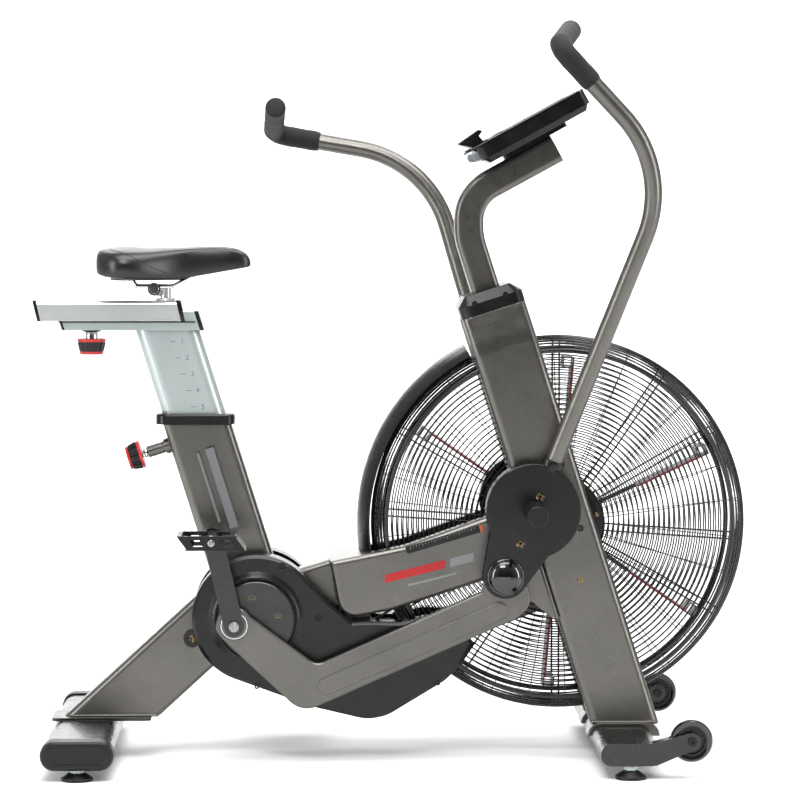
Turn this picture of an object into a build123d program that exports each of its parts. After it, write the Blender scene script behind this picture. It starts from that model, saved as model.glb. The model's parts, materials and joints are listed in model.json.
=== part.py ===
from build123d import *
import os
from math import asin, atan2, cos, degrees, hypot, radians, sin

# Air bike, millimetres. +X points forward (the fan end), +Y to the rider's left, +Z up.
# The origin lies on the floor, under the middle of the machine.
os.makedirs("parts", exist_ok=True)

SIDES = (("right", -1), ("left", 1))

# Driving dimensions: centres in the side view, as (X, Z)
FAN = (310, 430)
PIVOT = (256.5, 462)
CRANK = (-247, 261)
JACKSHAFT = (-30, 168)
WHEEL = (527, 67)
FRONT_STABILISER = (419, 44)
REAR_STABILISER = (-561, 46)

# Frame tubes
WALL = 3
FRAME_INNER = 60  # half the gap between the two side frames
FRAME_OUTER = 96
SIDE_TUBE_DEPTH = 120
SIDE_FRAME_TOP = (187, 824)
SIDE_FRAME_FOOT = (427, 70)
LEG_DEPTH = 118
LEG_ANGLE = 42.5
LEG_POINT = (-328, 243.5)
TUBE_HALF = 32  # half the width of the seat tube
STABILISER_HALF = 285
BRACKET_INNER = 296
BRACKET_OUTER = 322

# Seat
POST_LEAN = 17.5
POST_TOP = (-410, 786)
POST_DEPTH = 112
POST_WIDTH = 50
SEAT_TUBE_DEPTH = 120
SEAT_TUBE_TOP = 613
RAIL_LOW, RAIL_HIGH = 786, 820
RAIL_HALF = 30
SLIDER_LOW, SLIDER_HIGH = 803, 840
SLIDER_HALF = 35
TILT_AXIS = (-433, 861)

# Fan and cage
CAGE_R = 346
CAGE_HALF = 58
BLADE_R1, BLADE_R2 = 160, 306
HUB_DISC_R = 86
BLADE_HALF = 34
BLADE_ANGLE = 25

# Linkage: handle lever, eccentric crank pin and the bar between them
LEVER = 130
LEVER_ANGLE = 247
SWING = 36.9
CRANK_THROW = 40
CRANK_ANGLE = 190.18
PEDAL_ARM = (-77, 155)  # pedal axis from the crank axis, right side
HUB_R = 86
DISC_R = 70
# Layers outwards from the middle plane, right and left alike
CRANK_DISC_LAYER = (98.5, 111.6)
LINK_LAYER = (112, 138)
ARM_LAYER = (138.4, 156)
HUB_LAYER = (101, 149)
PEDAL_LAYER = (163, 262)
RUNNING = 0.05  # radial clearance of a running fit
GAP = 0.3  # clearance between bodies that only pass each other

# Belt drive, on the right side
CRANK_PULLEY_R, SMALL_PULLEY_R = 100, 30
LARGE_PULLEY_R, FAN_PULLEY_R = 70, 28
FIRST_BELT = (60, 72)
SECOND_BELT = (39, 51)
BELT = 4
FIRST_LOOP = (CRANK, CRANK_PULLEY_R, JACKSHAFT, SMALL_PULLEY_R)
SECOND_LOOP = (JACKSHAFT, LARGE_PULLEY_R, FAN, FAN_PULLEY_R)

# Console
CONSOLE_ANGLE = 28.6
CONSOLE = (257, 1161)
CONSOLE_SIZE = (222, 180, 29)

FOOT_R = 28
WHEEL_R = 38


def polar(centre, radius, angle):
    """The point of the side view at a radius and an angle from a centre."""
    return (centre[0] + radius * cos(radians(angle)), centre[1] + radius * sin(radians(angle)))


def span(s, inner, outer):
    """(lowest Y, highest Y) of a layer on side s."""
    return (-outer, -inner) if s < 0 else (inner, outer)


def side_plane(high):
    """The plane of the side view at Y = high. Its local axes are X and Z, and it extrudes towards -Y."""
    return Plane.XZ.offset(-high)


def disc(centre, low, high, radius, bore=0, mode=Mode.ADD):
    """Adds a disc or ring about an axis along Y to the part in hand."""
    with BuildSketch(side_plane(high)) as face:
        with Locations(centre):
            Circle(radius)
            if bore:
                Circle(bore, mode=Mode.SUBTRACT)
    extrude(face.sketch, amount=high - low, mode=mode)


def slab(outline, low, high, corner=0, mode=Mode.ADD):
    """Adds a plate of a polygonal side outline, from Y = low to Y = high, to the part in hand."""
    with BuildSketch(side_plane(high)) as face:
        with BuildLine():
            Polyline(*outline, close=True)
        make_face()
        if corner:
            fillet(face.vertices(), corner)
    extrude(face.sketch, amount=high - low, mode=mode)


def box_tube(start, end, depth, width, wall, corner, y=0):
    """Adds a hollow rounded box tube between two points of the side view to the part in hand."""
    run = Vector(end[0] - start[0], 0, end[1] - start[1])
    with BuildSketch(Plane(origin=(start[0], y, start[1]), x_dir=(0, 1, 0), z_dir=run)) as section:
        RectangleRounded(width, depth, corner)
        RectangleRounded(width - 2 * wall, depth - 2 * wall, corner - wall, mode=Mode.SUBTRACT)
    extrude(section.sketch, amount=run.length)


def capsule(centre, low, high, length, height, corner, wall=0):
    """Adds a rounded bar or tube along Y to the part in hand."""
    with BuildSketch(side_plane(high)) as face:
        with Locations(centre):
            RectangleRounded(length, height, corner)
            if wall:
                RectangleRounded(length - 2 * wall, height - 2 * wall, corner - wall, mode=Mode.SUBTRACT)
    extrude(face.sketch, amount=high - low)


def belt_face(one, r1, other, r2, extra, high):
    """The side outline of a belt's loop round two pulleys, grown by an extra radius, at Y = high."""
    distance = hypot(other[0] - one[0], other[1] - one[1])
    heading = degrees(atan2(other[1] - one[1], other[0] - one[0]))
    open_angle = degrees(asin((r1 - r2) / distance))
    with BuildSketch(side_plane(high), mode=Mode.PRIVATE) as face:
        with Locations(one):
            Circle(r1 + extra)
        with Locations(other):
            Circle(r2 + extra)
        with BuildLine():
            Polyline(
                polar(one, r1 + extra, heading + 90 - open_angle),
                polar(other, r2 + extra, heading + 90 - open_angle),
                polar(other, r2 + extra, heading - 90 + open_angle),
                polar(one, r1 + extra, heading - 90 + open_angle),
                close=True,
            )
        make_face()
    return face.sketch


def belt(loop, low, high):
    """Adds a flat belt round two pulleys to the part in hand."""
    extrude(belt_face(*loop, BELT, high), amount=high - low)
    extrude(belt_face(*loop, GAP, high), amount=high - low, mode=Mode.SUBTRACT)


def save(part, name):
    part.label = name
    export_step(part, f"parts/{name}.step")


# Directions of the leaning members, in the side view
post_up = (-sin(radians(POST_LEAN)), cos(radians(POST_LEAN)))
post_back = (-cos(radians(POST_LEAN)), -sin(radians(POST_LEAN)))
leg_up = (cos(radians(LEG_ANGLE)), sin(radians(LEG_ANGLE)))
frame_lean = (SIDE_FRAME_FOOT[0] - SIDE_FRAME_TOP[0]) / (SIDE_FRAME_TOP[1] - SIDE_FRAME_FOOT[1])
frame_length = hypot(SIDE_FRAME_FOOT[0] - SIDE_FRAME_TOP[0], SIDE_FRAME_TOP[1] - SIDE_FRAME_FOOT[1])
frame_up = (
    (SIDE_FRAME_TOP[0] - SIDE_FRAME_FOOT[0]) / frame_length,
    (SIDE_FRAME_TOP[1] - SIDE_FRAME_FOOT[1]) / frame_length,
)


def on_post(height, back=0):
    """The side-view point at a height on the seat post's axis, moved back across the post."""
    along = (height - POST_TOP[1]) / post_up[1]
    return (
        POST_TOP[0] + along * post_up[0] + back * post_back[0],
        height + back * post_back[1],
    )


def on_frame(height):
    """The side-view point at a height on the side frames' axis."""
    return (SIDE_FRAME_TOP[0] + (SIDE_FRAME_TOP[1] - height) * frame_lean, height)


def rear_edge(height):
    """The side-view point of the side frames' rear face at a height."""
    return (on_frame(height)[0] - SIDE_TUBE_DEPTH / 2 / frame_up[1], height)


# Stabilisers and what stands on them
FRONT_BAR = (108, 40, 19)
REAR_BAR = (124, 46, 22)
END_CAP = (130, 52, 25)
CAP_LENGTH = 40

with BuildPart() as front_stabiliser:
    capsule(FRONT_STABILISER, -BRACKET_INNER, BRACKET_INNER, *FRONT_BAR, wall=WALL)
save(front_stabiliser.part, "front_stabiliser")

PLATE_TOP = 74
with BuildPart() as rear_stabiliser:
    capsule(REAR_STABILISER, -STABILISER_HALF, STABILISER_HALF, *REAR_BAR, wall=WALL)
    with BuildSketch(Plane.XY.offset(PLATE_TOP)):
        with Locations((-532, 0)):
            RectangleRounded(182, 104, 8)
    extrude(amount=-6)
save(rear_stabiliser.part, "rear_stabiliser")

with BuildPart() as rear_end_caps:
    for _, s in SIDES:
        low, high = span(s, STABILISER_HALF, STABILISER_HALF + CAP_LENGTH)
        capsule(REAR_STABILISER, low, high, *END_CAP)
        rim = rear_end_caps.faces().sort_by(Axis.Y)[0 if s < 0 else -1].edges()
        fillet(rim, 7)
        disc(REAR_STABILISER, *span(s, STABILISER_HALF, 300), 7, mode=Mode.SUBTRACT)
        with BuildSketch(Plane.XY.offset(10)):
            with Locations((REAR_STABILISER[0], s * 302)):
                Circle(8 + GAP)
        extrude(amount=40, mode=Mode.SUBTRACT)
save(rear_end_caps.part, "rear_end_caps")

# Leg from the rear stabiliser up to the seat tube
with BuildPart() as rear_leg:
    low_end = (LEG_POINT[0] - 330 * leg_up[0], LEG_POINT[1] - 330 * leg_up[1])
    high_end = (LEG_POINT[0] + 130 * leg_up[0], LEG_POINT[1] + 130 * leg_up[1])
    box_tube(low_end, high_end, LEG_DEPTH, 60, WALL, 12)
    split(bisect_by=Plane.XY.offset(PLATE_TOP), keep=Keep.TOP)
    back_face = on_post(300, SEAT_TUBE_DEPTH / 2)
    split(
        bisect_by=Plane(origin=(back_face[0], 0, back_face[1]), z_dir=(post_back[0], 0, post_back[1])),
        keep=Keep.TOP,
    )
save(rear_leg.part, "rear_leg")

# Seat tube with the crank's bottom bracket shell and the pop pin's sleeve
PIN_HEIGHT = 591
SHELL_R, BEARING_R, AXLE_R = 24, 20, 12
PIN_R = 5
with BuildPart() as seat_tube:
    box_tube(on_post(208), on_post(SEAT_TUBE_TOP + 40), SEAT_TUBE_DEPTH, 2 * TUBE_HALF, WALL, 14)
    split(bisect_by=Plane.XY.offset(SEAT_TUBE_TOP), keep=Keep.BOTTOM)
    disc(CRANK, -45, 45, SHELL_R)
    disc(CRANK, -45, 45, BEARING_R, mode=Mode.SUBTRACT)
    face_point = on_post(PIN_HEIGHT, SEAT_TUBE_DEPTH / 2 - 0.5)
    pin_plane = Plane(origin=(face_point[0], 0, face_point[1]), z_dir=(post_back[0], 0, post_back[1]))
    with BuildSketch(pin_plane):
        Circle(14.5)
    extrude(amount=10)
    with BuildSketch(pin_plane):
        Circle(11)
    extrude(amount=44)
    with BuildSketch(pin_plane.offset(-20)):
        Circle(PIN_R + GAP)
    extrude(amount=90, mode=Mode.SUBTRACT)
save(seat_tube.part, "seat_tube")

COLLAR_HEIGHT = 19
with BuildPart() as seat_collar:
    with BuildSketch(Plane.XY.offset(SEAT_TUBE_TOP)):
        with Locations((on_post(SEAT_TUBE_TOP + COLLAR_HEIGHT / 2)[0], 0)):
            RectangleRounded(SEAT_TUBE_DEPTH / post_up[1] + 19, 2 * TUBE_HALF + 14, 20)
    extrude(amount=COLLAR_HEIGHT)
    chamfer(seat_collar.edges().group_by(Axis.Z)[-1], 3)
    start = on_post(SEAT_TUBE_TOP - 30)
    post_plane = Plane(
        origin=(start[0], 0, start[1]), x_dir=(0, 1, 0), z_dir=(post_up[0], 0, post_up[1])
    )
    with BuildSketch(post_plane):
        RectangleRounded(POST_WIDTH + 2 * GAP, POST_DEPTH + 2 * GAP, 22)
    extrude(amount=90, mode=Mode.SUBTRACT)
save(seat_collar.part, "seat_collar")

with BuildPart() as crank_bearings:
    for _, s in SIDES:
        disc(CRANK, *span(s, 33, 45), BEARING_R, AXLE_R + RUNNING)
save(crank_bearings.part, "crank_bearings")

# Side frames: from the mast's collar down past the fan to the front stabiliser
BEND_HEIGHT = 765
TOP_INSET = 13
collar_base = Plane(
    origin=(SIDE_FRAME_TOP[0], 0, SIDE_FRAME_TOP[1]), x_dir=(0, 1, 0), z_dir=(frame_up[0], 0, frame_up[1])
)
for side, s in SIDES:
    with BuildPart() as side_frame:
        middle = s * (FRAME_INNER + FRAME_OUTER) / 2
        below = on_frame(40)
        bend = on_frame(BEND_HEIGHT)
        above = on_frame(SIDE_FRAME_TOP[1] + 12)
        with BuildLine() as run:
            FilletPolyline(
                (below[0], middle, below[1]),
                (bend[0], middle, bend[1]),
                (above[0], middle - s * TOP_INSET, above[1]),
                radius=120,
            )
        with BuildSketch(Plane(origin=run.line @ 0, x_dir=(0, 1, 0), z_dir=run.line % 0)):
            RectangleRounded(FRAME_OUTER - FRAME_INNER, SIDE_TUBE_DEPTH, 13)
            hollow = (FRAME_OUTER - FRAME_INNER - 2 * WALL, SIDE_TUBE_DEPTH - 2 * WALL)
            RectangleRounded(*hollow, 13 - WALL, mode=Mode.SUBTRACT)
        sweep()
        split(bisect_by=Plane.XY.offset(FRONT_STABILISER[1] + 22), keep=Keep.TOP)
        split(bisect_by=collar_base, keep=Keep.BOTTOM)
        # saddle plate wrapped over the stabiliser
        low, high = span(s, 50, 106)
        capsule(
            (FRONT_STABILISER[0] + 6, FRONT_STABILISER[1]),
            low, high, FRONT_BAR[0] + 24, FRONT_BAR[1] + 10, 24,
        )
        with BuildSketch(side_plane(200)):
            with Locations(FRONT_STABILISER):
                RectangleRounded(*FRONT_BAR)
            with Locations((FRONT_STABILISER[0], 20)):
                Rectangle(200, 50)
        extrude(amount=400, mode=Mode.SUBTRACT)
        disc(FAN, *span(s, 50, 70), 8 + RUNNING, mode=Mode.SUBTRACT)
    save(side_frame.part, f"{side}_side_frame")

# Main beam: one box from the seat tube, forked round the fan cage into two blades
BLADE = [
    (-112, 366),
    (23, 393),
    (172, 446),
    rear_edge(470),
    rear_edge(262),
    (293, 262),
    (253, 294),
    (171, 330),
    (0, 275.5),
    (-91, 259),
]
BRIDGE = [(-112, 366), (-40, 380.4), (-40, 268.2), (-91, 259)]
BEAM_CORNER = 34  # radius of the beam's lower rear corner
with BuildPart() as main_beam:
    for _, s in SIDES:
        slab(BLADE, *span(s, FRAME_INNER, FRAME_OUTER))
    slab(BRIDGE, -FRAME_OUTER, FRAME_OUTER)
    fillet(main_beam.edges().filter_by(Axis.Y).filter_by(lambda e: abs(e.center().X + 91) < 1), BEAM_CORNER)
    blade_edges = main_beam.edges().filter_by(GeomType.LINE).filter_by(
        lambda e: abs(abs(e.center().Y) - FRAME_OUTER) < 0.1 and abs(e.tangent_at(0.5).Y) < 0.1
        and e.center().X < rear_edge(470)[0] - 5
    )
    fillet(blade_edges, 9)
    for _, s in SIDES:
        with BuildSketch(side_plane(span(s, FRAME_INNER + WALL, FRAME_OUTER - WALL)[1])) as cavity:
            with BuildLine():
                Polyline(*BLADE, close=True)
            make_face()
            offset(amount=-8)
            fillet(cavity.vertices().sort_by_distance(BLADE[-1])[0], BEAM_CORNER - 8)
        extrude(amount=FRAME_OUTER - FRAME_INNER - 2 * WALL, mode=Mode.SUBTRACT)
    box_tube((-215, 283), (-100, 318), 92, 60, WALL, 10)
    front_face = on_post(300, -SEAT_TUBE_DEPTH / 2)
    split(
        bisect_by=Plane(origin=(front_face[0], 0, front_face[1]), z_dir=(post_back[0], 0, post_back[1])),
        keep=Keep.BOTTOM,
    )
    for y in (-34, 26):
        slab([(-92, 290), (-42, 272), (-8, 176), (-14, 150), (-46, 150), (-54, 176)], y, y + 8)
        disc(JACKSHAFT, y, y + 8, 10 + RUNNING, mode=Mode.SUBTRACT)
save(main_beam.part, "main_beam")

# Collar and mast
COLLAR_SIZE = (172, 122)
with BuildPart() as mast_collar:
    with BuildSketch(collar_base):
        RectangleRounded(*COLLAR_SIZE, 22)
    extrude(amount=38)
    top_rim = mast_collar.faces().sort_by(Axis((0, 0, 0), (frame_up[0], 0, frame_up[1])))[-1].edges()
    chamfer(top_rim, 17)
save(mast_collar.part, "mast_collar")

MAST_DEPTH, MAST_WIDTH = 53, 56
MAST_END = (305.5, 1119.5)
console_x = (cos(radians(CONSOLE_ANGLE)), sin(radians(CONSOLE_ANGLE)))
console_n = (-console_x[1], console_x[0])
HEAD_PLATE = 4
with BuildPart() as mast:
    collar_top = (SIDE_FRAME_TOP[0] + 38 * frame_up[0], SIDE_FRAME_TOP[1] + 38 * frame_up[1])
    knee = (145, 0, collar_top[1] + (collar_top[0] - 145) * frame_up[1] / -frame_up[0])
    # the bore stops short of the mast's end, which leaves its head closed
    for mode, wall, short in ((Mode.ADD, 0, 0), (Mode.SUBTRACT, WALL, HEAD_PLATE)):
        mast_head = (MAST_END[0] - short * console_x[0], 0, MAST_END[1] - short * console_x[1])
        with BuildLine() as mast_run:
            FilletPolyline(
                (collar_top[0], 0, collar_top[1]), knee, (145, 0, 1032), mast_head, radius=(120, 76)
            )
        with BuildSketch(Plane(origin=mast_run.line @ 0, x_dir=(0, 1, 0), z_dir=mast_run.line % 0)):
            RectangleRounded(MAST_WIDTH - 2 * wall, MAST_DEPTH - 2 * wall, 11 - wall)
        sweep(mode=mode)
save(mast.part, "mast")

# Console: a tilted slab with its face, and a phone rest at its lower end
console_plane = Plane(
    origin=(CONSOLE[0], 0, CONSOLE[1]),
    x_dir=(console_x[0], 0, console_x[1]),
    z_dir=(console_n[0], 0, console_n[1]),
)
length, width, thick = CONSOLE_SIZE
FACE = 3
# outlines in the side view from the upper corner of the console's lower end: the first number runs
# along the console, the second away from its face
TRAY = [
    (0, 0), (20, 0), (17, 14), (27, 19), (22, 24), (-24, 19),
    (-21, 15), (-12, 8), (-4, 1), (-4, -9), (0, -9),
]
TRAY_LIP = [(22, 24), (21.6, 25.6), (-25, 20.5), (-24, 19)]
END_PIECE = [(0, -9), (-4, -9), (-18, -6), (-23, -13), (-21, -21), (-7, -27), (0, -25)]
tray_plane = Plane(
    origin=(
        CONSOLE[0] - length / 2 * console_x[0] + thick / 2 * console_n[0],
        0,
        CONSOLE[1] - length / 2 * console_x[1] + thick / 2 * console_n[1],
    ),
    x_dir=(console_x[0], 0, console_x[1]),
    z_dir=(0, -1, 0),
)
with BuildPart() as console_housing:
    with BuildSketch(console_plane.offset(-thick / 2)):
        RectangleRounded(length, width, 14)
    extrude(amount=thick - FACE)
    with BuildSketch(console_plane.offset(-thick / 2)):
        RectangleRounded(length - 8, width - 8, 12)
    extrude(amount=-10, taper=38)
    # mounting foot on the mast's head
    with BuildSketch(console_plane.offset(-thick / 2 - 10)):
        with Locations((-6, 0)):
            RectangleRounded(130, 50, 6)
    extrude(amount=-10)
    mast_top = (
        MAST_END[0] + MAST_DEPTH / 2 * console_n[0],
        MAST_END[1] + MAST_DEPTH / 2 * console_n[1],
    )
    split(
        bisect_by=Plane(origin=(mast_top[0], 0, mast_top[1]), z_dir=(console_n[0], 0, console_n[1])),
        keep=Keep.TOP,
    )
    with BuildSketch(tray_plane.offset(-60)):
        with BuildLine():
            Polyline(*TRAY, close=True)
        make_face()
    extrude(amount=120)
save(console_housing.part, "console_housing")

with BuildPart() as console_face:
    with BuildSketch(console_plane.offset(thick / 2 - FACE)):
        RectangleRounded(length, width, 14)
    extrude(amount=FACE)
    with BuildSketch(console_plane.offset(thick / 2)):
        with Locations((28, 0)):
            RectangleRounded(112, 142, 5)
    extrude(amount=-1, mode=Mode.SUBTRACT)
    with BuildSketch(console_plane.offset(thick / 2)):
        with Locations((-62, 0)):
            with GridLocations(32, 38, 2, 4):
                RectangleRounded(20, 28, 6)
    extrude(amount=1.2)
save(console_face.part, "console_face")

# silver end piece under the console's lower end, and the silver lip of the phone tray
with BuildPart() as phone_holder:
    for outline, half in ((TRAY_LIP, 60), (END_PIECE, 68)):
        with BuildSketch(tray_plane.offset(-half)):
            with BuildLine():
                Polyline(*outline, close=True)
            make_face()
        extrude(amount=2 * half)
save(phone_holder.part, "phone_holder")

# Fan cage: two grille halves with their rims and ties
RING_COUNT, SPOKES, WIRE = 9, 24, 3
CENTRE_R = 80
TIE_ANGLES = [a for a in range(0, 360, 24) if not 195 < a < 240]
for side, s in SIDES:
    with BuildPart() as fan_guard:
        with BuildSketch(side_plane(span(s, CAGE_HALF - 4, CAGE_HALF)[1])):
            with Locations(FAN):
                Circle(CENTRE_R)
                Circle(8 + GAP, mode=Mode.SUBTRACT)
                for n in range(1, RING_COUNT + 1):
                    r = CENTRE_R + n * (CAGE_R - CENTRE_R) / RING_COUNT
                    with BuildSketch(mode=Mode.PRIVATE) as ring:
                        Circle(r)
                        Circle(r - WIRE, mode=Mode.SUBTRACT)
                    add(ring.sketch)
                with PolarLocations((CENTRE_R + CAGE_R) / 2 - 2, SPOKES):
                    Rectangle(CAGE_R - CENTRE_R, WIRE)
        extrude(amount=4)
        for depth in (2, 19, 33):
            disc(FAN, *span(s, depth, depth + 3), CAGE_R, CAGE_R - WIRE)
        for angle in TIE_ANGLES:
            with BuildSketch(side_plane(span(s, 0, CAGE_HALF)[1])):
                with Locations(polar(FAN, CAGE_R - 5, angle)):
                    Rectangle(5, 4, rotation=angle)
            extrude(amount=CAGE_HALF)
    save(fan_guard.part, f"{side}_fan_guard")

# mudguard behind the cage: crowned across its width, and standing on the beam
FENDER_R = (349, 372)
FENDER_ANGLES = (118, 190)
FENDER_HALF = 59
with BuildPart() as fan_fender:
    start, end = (radians(angle) for angle in FENDER_ANGLES)
    section = Plane(
        origin=(FAN[0], 0, FAN[1]), x_dir=(cos(start), 0, sin(start)), z_dir=(-sin(start), 0, cos(start))
    )
    edge, crown = FENDER_R
    with BuildSketch(section):
        with BuildLine():
            ThreePointArc((edge + 3, -FENDER_HALF), (crown, 0), (edge + 3, FENDER_HALF))
            Line((edge + 3, FENDER_HALF), (edge, FENDER_HALF))
            ThreePointArc((edge, FENDER_HALF), (crown - 3.5, 0), (edge, -FENDER_HALF))
            Line((edge, -FENDER_HALF), (edge + 3, -FENDER_HALF))
        make_face()
    revolve(axis=Axis((FAN[0], 0, FAN[1]), (0, -1, 0)), revolution_arc=FENDER_ANGLES[1] - FENDER_ANGLES[0])
    slope = ((BRIDGE[1][0] - BRIDGE[0][0]), (BRIDGE[1][1] - BRIDGE[0][1]))
    split(
        bisect_by=Plane(origin=(BRIDGE[0][0], 0, BRIDGE[0][1]), z_dir=(-slope[1], 0, slope[0])),
        keep=Keep.TOP,
    )
save(fan_fender.part, "fan_fender")

with BuildPart() as fan_axle:
    disc(FAN, -90, 90, 8)
    for _, s in SIDES:
        with BuildSketch(side_plane(span(s, 64, 74)[1])):
            with Locations(FAN):
                RegularPolygon(13, 6)
        extrude(amount=10)
save(fan_axle.part, "fan_axle")

with BuildPart() as fan_hub:
    disc(FAN, -38, 38, 24)
    disc(FAN, *span(-1, *SECOND_BELT), FAN_PULLEY_R)
    disc(FAN, -2, 2, HUB_DISC_R)
    # arms out to the blades
    with BuildSketch(side_plane(2)):
        with Locations(FAN):
            with PolarLocations((HUB_DISC_R + BLADE_R1) / 2 - 1, 6, start_angle=BLADE_ANGLE):
                Rectangle(BLADE_R1 - HUB_DISC_R + 2, 8)
    extrude(amount=4)
    disc(FAN, -60, 60, 8 + RUNNING, mode=Mode.SUBTRACT)
save(fan_hub.part, "fan_hub")

with BuildPart() as fan_blades:
    for n in range(6):
        angle = BLADE_ANGLE + 60 * n
        with BuildSketch(side_plane(BLADE_HALF)):
            with Locations(polar(FAN, (BLADE_R1 + BLADE_R2) / 2, angle)):
                Rectangle(BLADE_R2 - BLADE_R1, 4, rotation=angle)
            with Locations(polar(FAN, BLADE_R2 - 10, angle + 1.6)):
                Rectangle(20, 20, rotation=angle)
                Rectangle(17, 17, rotation=angle, mode=Mode.SUBTRACT)
        extrude(amount=2 * BLADE_HALF)
save(fan_blades.part, "fan_blades")

# Belt shrouds either side of the crank
SHROUD_R = 117
SHROUD_OUTER = 96
SHROUD_INNER = 34
LOBE = [
    polar(CRANK, SHROUD_R, 52),
    (-118, 295),
    (-71, 254.5),
    (-50, 256),
    (14, 254),
    (62, 264),
    (120, 262),
    (150, 215),
    (126, 174),
    (98, 146),
    (-8, 82),
    (-44, 75),
    (-145, 99),
    polar(CRANK, SHROUD_R, 250),
]
SHROUD_SCREWS = [(-199, 358), (-246, 137), (-133, 263), (85, 142)]
for side, s in SIDES:
    with BuildPart() as shroud:
        low, high = span(s, SHROUD_INNER, SHROUD_OUTER)
        with BuildSketch(side_plane(high)) as outline:
            with Locations(CRANK):
                Circle(SHROUD_R)
            with BuildSketch(mode=Mode.PRIVATE) as lobe:
                with BuildLine():
                    Polyline(*LOBE, close=True)
                make_face()
                bottom = lobe.vertices().filter_by_position(Axis.X, -60, 110)
                fillet(bottom.filter_by_position(Axis.Y, 70, 150), 75)
            add(lobe.sketch)
        extrude(amount=high - low)
        outer_face = shroud.faces().sort_by(Axis.Y)[0 if s < 0 else -1]
        chamfer(outer_face.edges(), 6)
        low, high = span(s, SHROUD_INNER, SHROUD_OUTER - 7)
        with BuildSketch(side_plane(high)):
            add(outline.sketch.moved(Location((0, 0, 0))))
            offset(amount=-3)
        extrude(amount=high - low, mode=Mode.SUBTRACT)
        disc(FAN, *span(s, 0, FRAME_INNER + 0.5), CAGE_R + 6, mode=Mode.SUBTRACT)
        disc(CRANK, *span(s, 20, 120), 30, mode=Mode.SUBTRACT)
        for place in SHROUD_SCREWS:
            disc(place, *span(s, SHROUD_OUTER - 3, SHROUD_OUTER + 1), 6, mode=Mode.SUBTRACT)
        # slot where the second belt leaves for the fan
        if s < 0:
            low, high = span(s, SECOND_BELT[0] - 3, SECOND_BELT[1] + 3)
            extrude(belt_face(*SECOND_LOOP, BELT + 3, high), amount=high - low, mode=Mode.SUBTRACT)
        # tab that fastens the shroud to the rear leg
        tab = polar(CRANK, SHROUD_R + 9, 200)
        disc(tab, *span(s, SHROUD_INNER, SHROUD_INNER + 4), 16)
        disc(CRANK, *span(s, SHROUD_INNER, SHROUD_INNER + 4), SHROUD_R - 3, mode=Mode.SUBTRACT)
    save(shroud.part, f"{side}_shroud")

# Belt drive
with BuildPart() as crank_axle:
    disc(CRANK, -CRANK_DISC_LAYER[0], CRANK_DISC_LAYER[0], AXLE_R)
save(crank_axle.part, "crank_axle")

with BuildPart() as crank_pulley:
    low, high = span(-1, *FIRST_BELT)
    disc(CRANK, low, high, CRANK_PULLEY_R, CRANK_PULLEY_R - 14)
    disc(CRANK, low + 4, high - 4, CRANK_PULLEY_R - 10, AXLE_R)
    disc(CRANK, low, high, 28, AXLE_R)
    with BuildSketch(side_plane(high)):
        with Locations(CRANK):
            with PolarLocations(56, 6):
                Circle(19)
    extrude(amount=high - low, mode=Mode.SUBTRACT)
save(crank_pulley.part, "crank_pulley")

with BuildPart() as jackshaft:
    disc(JACKSHAFT, -75, 38, 10)
    disc(JACKSHAFT, *span(-1, *FIRST_BELT), SMALL_PULLEY_R)
    disc(JACKSHAFT, *span(-1, *SECOND_BELT), LARGE_PULLEY_R)
save(jackshaft.part, "jackshaft")


with BuildPart() as first_belt:
    belt(FIRST_LOOP, *span(-1, *FIRST_BELT))
with BuildPart() as second_belt:
    belt(SECOND_LOOP, *span(-1, *SECOND_BELT))
save(Compound(children=[first_belt.part, second_belt.part]), "drive_belts")

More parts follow.
